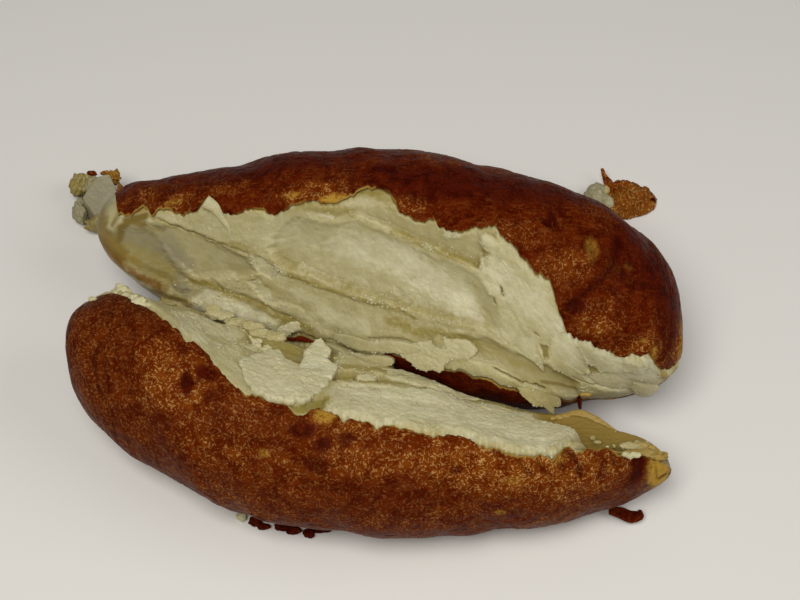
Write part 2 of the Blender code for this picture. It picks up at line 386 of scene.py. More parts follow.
frontFolds = (
    (((30, 68), (31, 58), (33, 50)), 0.5, -0.35), (((34, 70), (34.5, 60), (36.5, 50)), 0.5, -0.35),
    (((38, 69), (38.5, 60), (40.5, 52)), 0.5, -0.4), (((42, 66), (43.5, 55), (44, 44)), 0.6, -0.35),
    (((50, 74), (51.5, 60), (52.5, 45)), 0.5, -0.3), (((57, 70), (58, 55), (58, 38)), 0.6, -0.35),
    (((63.4, 22), (65.0, 32), (66.3, 46)), 0.5, -0.7), (((61.2, 58), (62.0, 40), (62.6, 22)), 0.35, -0.3),
    (((-60, 80), (-62, 60), (-60, 35)), 0.8, -0.3), (((-57, 95), (-59.5, 75), (-58.5, 50)), 0.6, -0.25),
)
# coloured patches of the skin: x, angle, half length along x and across, and strength
# golden patches: the skin's own golden places, and the one under the lower rim at the left end (x -56, -12
# degrees), which is painted light where that part faces away from the lamp
backGoldenAndLight = (
    (49, 46, 6, 4, 0.75), (58, 25, 9, 6, 1.0), (41, 73, 7, 5, 0.6), (-53, 100, 8, 4, 0.35),
    (-33, 98, 6, 3, 0.4), (-45, 86, 8, 3, 0.55), (7, 86, 6, 3, 0.5), (62.5, 47, 3, 7, 0.4),
    (30, 84, 8, 4, 0.35), (-14, 87, 12, 3.6, 0.8), (-56, -12, 9, 5, 1.0), (68.5, 22, 2.4, 9, 1.0),
    (20, 140, 16, 9, 0.3), (-30, 170, 14, 9, 0.4), (45, 150, 12, 8, 0.3), (0, 210, 20, 10, 0.4),
    (-50, 160, 9, 7, 0.4), (60, 200, 9, 9, 0.4), (-60, 20, 6, 12, 0.8),
)
# crimson patches: the skin's own dark red blotches, and the long ones along the crest near 112 to 116
# degrees, which are painted shade where the top turns from the lamp
backCrimsonAndShade = (
    (3, 107, 4, 2.2, 0.8), (38.2, 94.6, 2.0, 1.6, 1.0), (20, 100, 22, 4, 0.3), (53, 75, 1.6, 12, 0.5),
    (44, 53, 4, 1.8, 0.8), (-5, 130, 15, 8, 0.3), (30, 165, 12, 8, 0.4), (-40, 140, 9, 7, 0.4),
    (-30, 116, 26, 5, 0.5), (25, 112, 36, 7, 0.9), (-25, 112, 20, 4, 0.6), (58, 92, 10, 11, 0.8),
    (64, 66, 4, 14, 0.8), (47, 85, 0.7, 1.5, 1.0), (8, -4, 12, 6, 0.6), (22, 2, 14, 6, 0.6),
)
backYellow = (
    (47.1, 84.6, 1.9, 3.0, 0.38), (55, 80, 1.3, 0.7, 0.15), (52, 78, 1.8, 0.6, 0.2), (-9, 84, 5, 1.2, 0.8),
    (-18, 86, 4, 0.9, 0.6), (-46, 88, 6, 0.8, 0.5), (69, 22, 1.2, 9, 0.5), (61.5, 30, 0.8, 3, 0.5),
    (59, 38, 1.0, 0.8, 0.4),
)
frontGolden = (
    (-44, 71, 10, 9, 0.85), (-47, 88, 5, 3, 0.9), (-28, 70, 7, 7, 0.5), (-11, 76, 4, 3, 1.0),
    (0, 64, 14, 8, 0.7), (22, 60, 17, 9, 0.9), (39.5, 55, 12, 9, 1.0), (54, 62, 7, 4, 0.9),
    (-16, 42, 10, 5, 0.4), (29, 46, 5, 3, 0.8), (-60, 60, 6, 12, 0.3), (-34, 48, 12, 8, 0.6),
    (10, 10, 18, 6, 0.4), (-30, 0, 16, 8, 0.4), (40, -10, 14, 8, 0.5), (45, 35, 12, 6, 0.7),
)
frontCrimson = (
    (-36.4, 84, 2.6, 2.2, 1.0), (-41.5, 92, 1.6, 1.5, 0.7), (-40, 73.5, 1.6, 3.2, 1.0),
    (-11, 59, 2.8, 2.0, 0.9), (-6, 65, 2.4, 1.8, 0.8), (-15, 66, 4, 2, 0.9), (17, 52, 1.7, 1.2, 0.9),
    (26, 70, 2, 1.4, 0.7), (57.2, 55, 2.2, 9, 1.0), (65.6, 44, 1.3, 5, 0.45), (41, 70, 9, 1.6, 0.6),
    (49, 60, 1.0, 7, 0.5), (-12, 48, 4, 2.6, 0.6), (-30, 60, 9, 6, 0.35), (5, 35, 14, 6, 0.3),
)
frontYellow = (
    (-11, 77, 3.0, 2.2, 0.7), (29, 46, 3, 1.2, 0.35), (27, 16, 1.2, 0.8, 0.6), (-23.6, 47, 1.2, 0.8, 0.6),
    (39, 66, 2, 2, 0.4), (63.4, 60, 3.9, 10, 1.0), (64.5, 30, 2.0, 7, 0.6),
)


def onSkin(half, x, degrees):
    # a point of the plain skin, in mm, from its x and its angle
    x, angle = np.asarray(x, float), np.radians(np.asarray(degrees, float))
    cy, cz, depth, height, _, _ = sectionAt(half, x)
    return np.stack([x, cy - depth * np.cos(angle), cz + height * np.sin(angle)], -1)


def distanceToLine(points, line):
    # distance from every point to a line through the given places, piece by piece
    best = np.full(points.shape[:-1], 1e9)
    for a, b in zip(line[:-1], line[1:]):
        run = b - a
        t = np.clip(np.sum((points - a) * run, -1) / np.sum(run * run), 0, 1)
        best = np.minimum(best, np.linalg.norm(points - a - t[..., None] * run, axis=-1))
    return best


def foldShape(half, points, line, width):
    # 1 along a line of (x, angle) on the skin, falling away to both sides
    spots = onSkin(half, *np.transpose(line))
    return np.exp(-(distanceToLine(points, spots) / width) ** 2)


def skinRelief(half, points, eyes, folds):
    # lift of the skin over its plain shape, in mm: dents, long wrinkles, crossing creases, pimples, eyes,
    # folds
    seed = half["seed"]
    lift = skinLook["dimples"] * fractalNoise(points / skinLook["dimpleSize"], seed + 2, 3)
    stretched = points / np.array(skinLook["wrinkleSize"])
    ridges = 1 - np.abs(smoothNoise(stretched, seed + 3)) * 2.2
    patchy = smoothStep(-0.2, 0.6, smoothNoise(points / skinLook["patchSize"], seed + 4))
    lift += skinLook["wrinkles"] * ridges * patchy
    valleys = np.exp(-(fractalNoise(points / skinLook["creaseSize"], seed + 8, 2) / 0.10) ** 2)
    lift -= skinLook["creases"] * valleys * (1.2 - patchy)
    near, second, _ = cellNoise(points / skinLook["pimpleSize"], seed + 6)
    lift += skinLook["pimples"] * (second - near)
    for x, degrees, radius, deep, lip in eyes:
        gap = np.linalg.norm(points - onSkin(half, x, degrees), axis=-1) / radius
        lift += lip * np.exp(-((gap - 1.25) / 0.45) ** 2) - deep * np.exp(-(gap / 0.7) ** 2)
    lift = np.maximum(lift, skinLook["deepest"])
    for line, width, rise in folds:
        lift += rise * foldShape(half, points, line, width)
    return np.maximum(lift, skinLook["deepestFold"])


def patchStrength(half, points, patches, seed):
    # how strongly each point lies in the patches, whose outlines are made uneven by noise
    clear = np.ones(points.shape[:-1])
    wobble = 0.45 * fractalNoise(points / 3.2, half["seed"] + seed, 3, 0.6)
    for x, degrees, halfLong, halfAcross, strength in patches:
        gap = points - onSkin(half, x, degrees)
        along, around = gap[..., 0] ** 2, gap[..., 1] ** 2 + gap[..., 2] ** 2
        size = np.sqrt(along / halfLong ** 2 + around / halfAcross ** 2)
        clear = clear * (1 - min(strength, 1.0) * (1 - smoothStep(0.55, 1.15, size + wobble)))
    return 1 - clear


def skinPiece(half, eyes, folds, patches):
    # The skin of one half: its outer face runs from torn edge to torn edge, and the same way back
    # a skin's thickness deeper.
    x = evenRows(half, skinLook["rowSpacing"])
    loops, outward = halfLoops(half, x)
    start, stop, skinStep, _ = tearPlaces(half, x, loops)
    share = np.linspace(0, 1, skinLook["columns"])
    place = start[:, None] + (stop - start)[:, None] * share
    span = ((stop - start) * skinStep)[:, None]
    tornGap = np.minimum(share, 1 - share) * span               # mm to the nearest torn edge
    base = alongLoop(loops, place)
    normal = unit(alongLoop(outward, place))
    size = np.clip(sectionAt(half, x)[3] / fullHeight, 0.15, 1)[:, None]
    lift = skinRelief(half, base, eyes, folds) * size
    ripple = smoothNoise(np.stack([x / 5, x * 0 + half["seed"], x * 0], -1), half["seed"])[:, None]
    rippled = skinLook["curl"] * (0.4 + 1.2 * ripple)
    curl = rippled * np.exp(-tornGap / skinLook["curlReach"])
    outer = base + normal * (lift * (0.35 + 0.65 * smoothStep(0, 1.5, tornGap)) + curl * size)[..., None]
    innerShare = (1 + np.cos(np.linspace(0, math.pi, skinLook["innerColumns"]))) / 2
    innerPlace = start[:, None] + (stop - start)[:, None] * innerShare
    innerGap = np.minimum(innerShare, 1 - innerShare) * span
    full, torn = skinLook["thickness"], skinLook["tornThickness"]
    thick = torn + (full - torn) * smoothStep(0, 3, innerGap)
    innerCurl = rippled * np.exp(-innerGap / skinLook["curlReach"])
    inner = alongLoop(loops, innerPlace)
    inner = inner + unit(alongLoop(outward, innerPlace)) * (innerCurl * size - thick * size)[..., None]
    rings = np.concatenate([outer, inner], axis=1)
    rings[..., 2] = np.maximum(rings[..., 2], 0)
    ends = [onSkin(half, half["stations"][i][0], 0) for i in (0, -1)]
    blank = np.zeros_like(innerGap)

    def values(onOuter, onInner, atPoles):
        return np.concatenate([np.concatenate([onOuter, onInner], 1).ravel(), (atPoles, atPoles)])

    attributes = {"torn": values(tornGap, innerGap, 20.0),
                  "inside": values(np.zeros_like(tornGap), blank + 1, 0.0)}
    # dark crimson along the sunk folds: the eyes' own dark slits, and painted shade in the creases, darker
    # the deeper they are
    crease = np.zeros_like(tornGap)
    for line, width, rise in folds:
        if rise < 0:
            crease = np.maximum(crease, min(1, -2 * rise) * foldShape(half, base, line, width))
    attributes["fold"] = values(crease, blank, 0.0)
    for number, (name, spots) in enumerate(patches.items()):
        strength = patchStrength(half, base, spots, 30 + number)
        if name == "golden":
            strength = np.maximum(strength, half["warmth"])
        attributes[name] = values(strength, blank, 0.0)
    return ringedMesh("skin_" + half["name"], toRow(rings), toRow(ends[0]), toRow(ends[1]), attributes)


# Fields of the torn faces: outline of (x, mm below the upper rim), rise, slopes along x and across, bow,
# how mealy the field is (0 waxy to 1), how soft its edge is, and its tone (below 0 darker olive, above 0
# paler). Later ones lie over earlier ones.
backFields = (
    (((-68, 3), (-60, 1.5), (-53, 2), (-48.8, 4), (-47.5, 9), (-43, 15.5), (-40, 18.5), (-45, 22),
      (-52, 20), (-58, 16), (-66, 10)), -0.3, 0.0, 0.03, -0.4, 0.15, 3.2, -0.7),
    (((-53, 2), (-46, 2.5), (-40, 5), (-34.5, 9), (-28.5, 12), (-26, 16.5), (-29, 17.5), (-38, 18),
      (-43, 17.5), (-48, 13), (-51.5, 7)), -0.2, 0.0, 0.03, 0.15, 0.12, 2.0, 0.0),
    (((24, 0), (34, -2), (44, 4), (46, 12), (38, 17), (28, 22), (22, 21), (25, 12)),
     0.15, 0.0, 0.0, 0.2, 0.45, 4.0, 0.1),
    (((-17, 1.5), (-9.5, 3.5), (-4, 2.5), (4.5, 6), (12, 7), (18.5, 7.6), (23, 8.2), (23.5, 5.5), (26, 3.5),
      (27, -3), (14, -3), (4, -7), (-4, -7), (-10, -3)), -0.5, -0.02, -0.07, 0.3, 0.3, 0.9, -0.2),
    (((14, 4), (15, 2), (18, 0.5), (20, 1), (18.5, 3), (16, 4.5)), -0.2, 0.0, 0.0, 0.2, 0.6, 0.8, 0.5),
    (((22, 2), (23.5, -1), (26, -1), (27.5, 1), (26.5, 4.5), (23.5, 4)), 0.0, 0.0, 0.0, 0.2, 0.5, 1.0,
     0.35),
    (((-18, 2), (-9.5, 4), (-4, 3), (4.5, 6.5), (12, 7.6), (22.5, 8.2), (28, 14), (28, 20), (22, 21.5),
      (14.5, 22.5), (4, 23), (-4.5, 21.5), (-12, 19), (-22, 15), (-25, 10), (-22, 4)),
     0.2, 0.015, -0.04, -1.4, 0.30, 1.8, 0.1),
    (((-27, 22), (-25, 24.5), (-22, 24), (-18, 25.5), (-16, 28), (-12, 31), (-7.5, 34), (10, 34), (14, 27),
      (21, 25), (22.5, 21.5), (14.5, 22.7), (7, 23.6), (-4.5, 22.2), (-12, 19.8), (-18.5, 17), (-23, 15),
      (-28, 17)),
     0.35, 0.0, -0.04, 0.2, 0.5, 0.9, 0.0),
    (((-28, 11.5), (-24.5, 12.5), (-21.5, 16), (-23.5, 17.5), (-26.5, 16.5), (-28, 14)),
     0.15, 0.0, 0.0, 0.2, 0.7, 0.5, 0.3),
    (((-29.5, 18), (-26.5, 17.5), (-23.5, 20.5), (-23, 23), (-25.5, 24), (-27, 21.5)),
     0.25, 0.0, 0.0, 0.2, 0.8, 0.5, 0.4),
    # this field, low on the steep rear face, is paler partly as painted light where the face turns from the
    # lamp
    (((-46, 23.5), (-40, 20), (-35, 20.5), (-31, 23), (-28, 25.5), (-22, 28), (-22, 33), (-28, 34),
      (-38, 32.5), (-47, 31), (-49, 27)), 0.35, 0.0, 0.0, 0.5, 0.9, 1.3, 0.65),
    (((-41, 25.5), (-36, 23), (-31, 24.5), (-29, 27.5), (-32, 29.5), (-38, 28.5)), 0.7, 0.0, 0.0, 0.2, 0.9,
     0.7, 0.9),
    (((-48.5, 17), (-44.5, 16.5), (-42.5, 18), (-43, 20.5), (-46.5, 21), (-48.5, 19)),
     0.3, 0.0, 0.0, 0.6, 0.2, 0.9, 0.2),
    (((13.5, 26), (22, 22.5), (30, 21), (37, 17.5), (46, 15), (47, 20), (36, 26), (31.5, 28), (26, 29),
      (18, 30)),
     -0.4, 0.0, 0.04, -0.2, 0.1, 1.6, -0.2),
    (((44, 3), (52, -2), (62, -1), (66, 6), (66, 12), (50, 15), (45, 13), (50, 8)), 0.1, 0.0, 0.0, 0.3,
     0.35, 1.2, 0.5),
    (((30, 20), (31, 16.5), (35, 14), (36.5, 16.5), (37.5, 17.5), (37.5, 20.5), (35.5, 20.5), (32, 20.5)),
     0.15, 0.0, 0.0, 0.2, 0.45, 0.5, 0.3),
    (((38.3, 10.5), (39.5, 6.5), (43, 4), (46, 7.5), (48, 10), (46.5, 12.8), (42.5, 13), (38.5, 15.2)),
     0.6, 0.0, 0.02, 0.1, 0.35, 0.5, 0.35),
    (((43, 4.5), (47.5, 2), (51.5, 1), (52.5, 4), (55.5, 3.5), (56, 6.5), (49.5, 9), (46, 7.5)),
     0.45, 0.0, 0.0, 0.1, 0.3, 0.5, 0.35),
    (((54.5, 0.5), (58, -1.5), (61, 0), (60, 4.5), (55.5, 5.5)), 0.6, 0.0, 0.0, 0.3, 0.2, 0.6, 0.45),
    (((35.8, 14.6), (38.2, 13.2), (38, 16), (37.6, 17.6), (37, 17.5), (36.6, 16)), -0.2, 0.0, 0.0, 0.0, 0.1,
     0.4, -0.8), (((45.8, 8), (49, 8), (50.5, 9.5), (48, 11.2)), -0.1, 0.0, 0.0, 0.0, 0.1, 0.4, -0.7),
)
backCracks = (
    (((-52.5, 0.5), (-49.5, 2), (-42.5, 5.5), (-34.5, 9), (-29, 11.5)), 0.28, 0.45),
    (((-38, 17.8), (-35.5, 20.8), (-28, 23.4), (-20, 27.7)), 0.6, 0.35),
    (((23.2, 4), (24.2, 6.5)), 0.3, 0.5), (((27.5, 9.4), (27.8, 10.6)), 0.35, 0.8),
    (((26, 12.6), (26.3, 13.8)), 0.35, 0.7), (((35, 13), (35.6, 13.1)), 0.3, 0.6),
    (((26.5, 28.5), (29, 28), (32.5, 27), (38, 24)), 0.3, 0.8), (((-28, 33), (-23.5, 32.3)), 0.25, 0.5),
    (((-10.5, 33.8), (-8, 34.8), (-5.5, 35.3), (1, 34.3)), 0.35, 0.9),
    (((-1.5, 31.5), (1.5, 31), (8, 30)), 0.3, 0.6), (((-20.5, 33), (-17.5, 32.7), (-14.5, 33.8)), 0.5, 0.9),
    (((44, 15.5), (52, 13), (60, 11)), 0.3, 0.35),
)
frontFields = (
    (((-46, 6), (-42, 17), (-37, 20), (-32, 23.5), (-29, 22), (-31, 16), (-34, 8), (-37, 3), (-42, 0)),
     0.4, 0.0, 0.0, 0.3, 0.95, 0.9, 0.35),
    (((-32, 30), (-20, 34), (-6, 33), (-8, 22), (-12, 18), (-24, 17), (-29, 19)), -0.9, 0.0, 0.02, -0.2,
     0.3, 3.0, -0.7), (((-26, -2), (-20, -5), (-12, -3), (-9, 10), (-12, 7), (-17, 2), (-24, 2)), -0.5, 0.0,
                       0.04, 0.0, 0.05, 0.7, -0.9),
    (((-11, 13), (-4.5, 16), (2, 19), (10.5, 20.5), (16, 22.5), (11, 24), (2, 22.5), (-6, 20.5), (-12, 17)),
     -0.7, 0.0, 0.0, -0.3, 0.1, 0.9, -0.9),
    (((-11, 8), (-8, 13), (-0.5, 16.5), (5, 16.5), (10.5, 19), (17, 22), (24, 21), (33, 18), (38, 16.5),
      (44, 15.5), (48.5, 12.5), (48.5, 8), (43, 4), (36, -2), (20, -4), (4, -1), (-4, -1), (-10, 1)), 0.5,
     0.0, -0.03, 0.4, 0.95, 0.8, 0.5),
    (((-1, 14), (7.5, 18.5), (16, 21), (20, 18.5), (21.5, 14.5), (15.5, 12), (7.5, 13), (-1, 9)),
     0.7, 0.0, 0.0, 0.2, 0.9, 0.8, 0.6),
)
frontCracks = (
    (((-42, 22), (-35, 22.8), (-29, 24)), 0.3, 0.6), (((-33, 13.0), (-30, 16.5), (-27, 17.2)), 0.3, 0.6),
)
# coloured strokes on the flesh: line of (x, mm below the upper rim), half width and strength; the olive
# strokes are partly the flesh's own olive and partly painted shade along hollows, grooves and the lower
# edge of the rear face
backStrokes = {
    "olive": (
        (((-23, 13), (-15.5, 17.5), (-9.5, 19.6), (-1, 21.6), (6.5, 22.2), (14, 22), (21, 21)), 2.0, 0.6),
        (((-19.5, 16.8), (-15.5, 18.8), (-9.5, 20.8), (-1, 22.6), (6.5, 23.3), (9, 24)), 0.7, 0.9),
        (((4, 6), (12, 7), (18.5, 7.4), (22.5, 7)), 1.0, 0.95),
        (((-17, 0.5), (-12.5, 1), (-5, 2.5)), 1.4, 0.8),
        (((-52.5, 0.5), (-49.5, 2), (-42.5, 5.5), (-34.5, 9), (-29, 11.5)), 0.8, 0.7),
        (((-46, 17), (-38, 19), (-35.5, 21.2), (-28, 24), (-20, 28), (-15, 31)), 1.3, 1.0),
        (((20, 25.5), (30, 24), (38, 20), (46, 16.5)), 1.4, 0.5), (((-32.5, 8.5), (-27.5, 11)), 0.9, 0.6),
        (((-24, 27), (-16, 31.5), (-12, 34)), 1.3, 0.9), (((-4, -3), (1, -2), (4, 0.5)), 1.6, 0.95),
        (((-34, 14), (-24, 20), (-14, 26)), 1.6, 0.4), (((22, 12), (26, 20)), 1.6, 0.3),
        (((4, 26.5), (10, 26.6), (16, 25.8), (21, 25)), 2.0, 0.95),
        # painted shade on the underside of the rear face's lower edge
        (((-47, 33.5), (-38, 34), (-28, 35.2), (-16, 36.2), (-6, 38)), 2.6, 1.0),
        (((-30, 33), (-24, 32.8)), 1.0, 0.9), (((-6, 8), (4, 12)), 2.5, 0.15),
        (((-52, 20.5), (-44, 24)), 1.4, 0.9),
        (((-54.5, 8), (-51, 10), (-47.5, 13.3), (-44.5, 16)), 1.9, 0.6),
    ),
    "ochre": (
        (((-58, 11), (-52, 15), (-47, 18)), 1.0, 0.55),
        (((-61, 6), (-60, 3), (-57, 1.2), (-53.5, 0.6)), 1.2, 1.0),
        (((-62, 2), (-60.5, -0.5), (-58.5, -2)), 0.8, 0.8),
        (((-67, -5), (-65.5, 1), (-64, 6), (-61, 10)), 2.6, 0.95),
        (((-58.5, 1.2), (-56.5, 1.9), (-54, 2.6)), 1.0, 0.8),
        (((-66.5, -14), (-66, -8), (-65.5, -3)), 2.8, 0.5),
        (((-54.5, 2.0), (-52, 3.2), (-49.5, 4.2)), 1.1, 0.55), (((68, 4), (66, 10)), 1.5, 0.6),
        (((37, 23.2), (41, 20.5), (45.5, 18.5)), 0.5, 0.8), (((64, 2), (66, 6)), 0.8, 0.6),
        (((-20.5, 33.3), (-17.5, 32.9), (-14.5, 34)), 0.9, 0.9),
    ),
    "pale": ((((-7, 10), (5, 12), (19, 16)), 5.0, 0.9), (((28, 8), (36, 6), (42, 8)), 5.0, 0.7),
             (((-24, 6), (-14, 9)), 4.0, 0.4), (((-18, 22), (-9, 28), (-2, 28.5)), 2.5, 0.5),
             (((48, 2), (54, 4), (60, 5)), 3.0, 0.5)),
    "browned": ((((-66.7, 4), (-64.9, 7.7), (-61.7, 11.4), (-57.7, 14.5), (-53.7, 17.1), (-50.3, 19.5)),
                 1.45, 1.0),
                (((-56, 18.5), (-50, 21), (-45, 24)), 0.8, 0.5)),
    "golden": ((((-65, 3), (-62.4, 7), (-59.6, 9.8), (-56, 12.2)), 0.8, 0.3),
               (((-56.5, -0.8), (-53.5, -1.2)), 0.9, 0.8), (((43.5, 3.5), (46, 1.2), (49, 0)), 0.7, 0.6),
               (((64.5, 4), (66, 8)), 1.2, 0.6)),
    "glassy": ((((-46, 18), (-45, 19.2)), 2.2, 0.75), (((-67, -16), (-65, -9), (-64.2, -5)), 3.0, 0.6),
               (((-36, 12), (-30, 14)), 3.5, 0.2),
               (((-59, 4.5), (-54, 7), (-48, 10.5), (-44.5, 13.5)), 2.8, 0.55),
               (((-48.5, 6.5), (-46, 11)), 2.4, 0.5)),
}
frontStrokes = {
    "olive": (
        (((-12, 14), (-6.5, 15.5), (1, 18.5), (8, 21), (16, 23.2), (24, 21.5), (34, 19.5), (44, 17)), 1.7,
         1.0), (((-27, 22), (-20.5, 26), (-16, 24), (-11, 27)), 3.6, 1.0),
        (((-22.5, -0.5), (-16, -2), (-11, 6)), 2.2, 1.0), (((-37, 8), (-33, 14), (-28, 20)), 1.6, 0.4),
        (((-48.5, 20), (-42, 24), (-34.5, 27), (-28.5, 30)), 2.4, 1.0),
        (((-8, 21), (-2, 23), (4, 26)), 1.5, 0.9), (((38, 1), (44, 5)), 1.4, 0.5),
        (((8, 3), (22, 0), (34, 0)), 1.4, 0.4),
        (((-31, 25), (-24, 31), (-12, 33), (0, 29), (12, 26)), 1.6, 0.8),
    ),
    "ochre": ((((-25, -1.5), (-17, -3)), 0.9, 0.6), (((-18, 31), (-12, 33)), 1.2, 0.4)),
    "pale": ((((0, 11), (12, 12), (24, 10), (34, 6)), 6.0, 0.7), (((-26, 8), (-14, 10)), 5.0, 0.6)),
    "browned": (), "glassy": (), "golden": ((((41, 17.5), (46, 19), (50, 18), (54, 13)), 1.5, 0.75),
                                            (((60, 6), (64, 3)), 1.4, 0.8)),
}


# how many crumbs, their half sizes in mm and their shape; how they gather, and how far they keep from the
# skin
# and, in mm along x, from the smooth left end
crumbLook = {
    "back": 800, "front": 1100, "onFlakes": 300, "smallest": 0.10, "largest": 0.34, "flat": 0.55,
    "uneven": 0.40, "clumping": 2.8, "stray": 0.03, "fromSkin": 0.25, "clearEnd": (-52, -36),
}
flakeLook = {"ringGap": 0.19, "pointGap": 0.30, "ragged": 0.9, "fray": 0.20, "edgeFall": 0.30}
fleshLook = {
    "rowSpacing": 0.30, "faceColumns": 160, "hiddenColumns": 20, "underSkin": 3.0, "below": 0.70,
    "crown": 1.0, "ragged": 1.1, "fibreTurn": 24.0, "terrace": 0.15, "grain": 0.20, "fine": 0.14,
    "streaks": 0.02, "layers": 2.4, "lip": 0.60, "dent": 0.15, "dentWidth": 1.1,
}
troughLook = {"start": 42.0, "full": 47.0, "lean": 8.0, "wander": 1.5, "depth": 3.2, "ridges": 0.25}


def distanceInside(x, across, outline):
    # mm from every point to a closed outline, positive inside it
    points = np.stack([x, across], -1)
    corners = np.array(outline + outline[:1], float)
    gap = distanceToLine(points, corners)
    crossings = np.zeros(x.shape, int)
    for (ax, ay), (bx, by) in zip(corners[:-1], corners[1:]):
        if ay != by:
            spans = (across >= min(ay, by)) & (across < max(ay, by))
            crossings += spans & (x < ax + (across - ay) * (bx - ax) / (by - ay))
    return np.where(crossings % 2 == 1, gap, -gap)


def flat3(x, across, scaleX, scaleAcross, offset=0.0):
    return np.stack([x / scaleX, across / scaleAcross, np.full_like(x, offset)], -1)


def mealyTexture(x, across, mealy, seed):
    # fine height of torn flesh in mm: steps where layers broke, rounded grains, fine grain, and streaks
    # along the fibres where it is waxy
    turn = math.radians(fleshLook["fibreTurn"])
    fibre = x * math.cos(turn) + across * math.sin(turn)
    cross = across * math.cos(turn) - x * math.sin(turn)
    layer = fleshLook["layers"] * fractalNoise(flat3(fibre, cross, 5.4, 4.2, 7.1), seed + 4, 3, 0.52)
    step = np.floor(layer)
    height = fleshLook["terrace"] * (step + smoothStep(0.70, 1.0, layer - step)) * (0.2 + 0.8 * mealy)
    warp = 0.5 * smoothNoise(flat3(x, across, 1.1, 1.1), seed + 5)[..., None]
    near, _, owner = cellNoise(flat3(x, across, 0.95, 0.85) + warp * np.array((1, 1, 0)), seed + 6)
    height += fleshLook["grain"] * mealy ** 1.5 * (0.55 - near ** 1.4 + 0.6 * owner)
    height += fleshLook["fine"] * (0.2 + mealy) * fractalNoise(flat3(x, across, 1.5, 1.5), seed + 7, 2, 0.6)
    height += fleshLook["streaks"] * (1 - mealy) * fractalNoise(flat3(fibre, cross, 7, 0.8), seed + 8, 2)
    return height


def fieldRelief(x, across, fields, relief, mealy, seed):
    # each field is a ragged patch whose own surface and tone take the place of what was there
    coarse = fractalNoise(flat3(x, across, 3.4, 2.4, 0.5), seed, 5, 0.66)
    tone = 0.25 * fractalNoise(flat3(x, across, 9, 5, 3.3), seed + 12, 3)
    for number, (outline, rise, along, over, bow, meal, softness, shade) in enumerate(fields):
        inside = distanceInside(x, across, outline)
        deepest = max(inside.max(), 1.0)
        centre = np.mean(np.array(outline, float), axis=0)
        inside = inside + fleshLook["ragged"] * coarse * (1 if number % 2 else -1)
        cover = smoothStep(0, softness, inside)
        dish = 1 - (1 - np.clip(inside / deepest, 0, 1)) ** 2
        surface = rise + along * (x - centre[0]) + over * (across - centre[1]) + bow * dish
        relief = relief + (surface - relief) * cover
        mealy = mealy + (meal - mealy) * smoothStep(-0.2, max(softness, 0.5), inside)
        tone = tone + (shade - 0.6 * tone) * cover
    return relief, mealy, tone


def strokeStrength(x, across, strokes, seed):
    # how strongly each point lies under the strokes, whose edges are uneven
    clear = np.ones_like(x)
    wobble = 0.5 * fractalNoise(flat3(x, across, 2.4, 1.6), seed, 3, 0.6)
    points = np.stack([x, across], -1)
    for line, halfWidth, strength in strokes:
        gap = distanceToLine(points, np.array(line, float)) / halfWidth
        clear = clear * (1 - strength * (1 - smoothStep(0.3, 1.2, gap + wobble)))
    return 1 - clear


def fleshRelief(half, x, across, width, fields, cracks):
    # height of the torn face over the straight line between its rims, how mealy it is, and its cracks
    seed = half["seed"] + 100
    share = np.clip(across / width, 0, 1)
    relief = (fleshLook["crown"] * np.sin(math.pi * share)
              + 0.5 * fractalNoise(flat3(x, across, 16, 8), seed, 2))
    mealy = 0.55 + 0.3 * smoothNoise(flat3(x, across, 14, 6, 2.2), seed + 1)
    relief, mealy, tone = fieldRelief(x, across, fields, relief, mealy, seed + 2)
    mealy = np.clip(mealy + 0.25 * fractalNoise(flat3(x, across, 6, 4, 4.2), seed + 3, 3), 0, 1)
    relief = relief + mealyTexture(x, across, mealy, seed)
    depth = np.zeros_like(x)
    wander = 0.4 * smoothNoise(flat3(x, x * 0, 1.6, 1), seed + 9)
    points = np.stack([x, across + wander], -1)
    for line, wide, deep in cracks:
        gap = distanceToLine(points, np.array(line, float))
        depth = np.maximum(depth, deep * np.exp(-(gap / wide) ** 2))
    return relief - depth, mealy, depth, tone


def peeledTrough(x, across, width, relief, mealy):
    # towards its sharp end the front half's flesh has come away and leaves a trough lined with skin
    share = np.clip(across / width, 0, 1)
    wander = troughLook["wander"] * smoothNoise(flat3(x, across, 4, 2.5), 71)
    reach = x + troughLook["lean"] * smoothStep(0.55, 0.8, share) + wander
    peel = smoothStep(troughLook["start"], troughLook["full"], reach)
    along = troughLook["ridges"] * fractalNoise(flat3(x, across, 12, 0.8), 72, 3)
    trough = -troughLook["depth"] * np.sin(math.pi * share) ** 0.8 + along
    return relief + (trough - relief) * peel, mealy * (1 - peel), peel


def softened(field, rounds=40):
    for _ in range(rounds):
        field = (np.roll(field, 1, 0) + np.roll(field, -1, 0)
                 + np.roll(field, 1, 1) + np.roll(field, -1, 1)) / 4
    return field


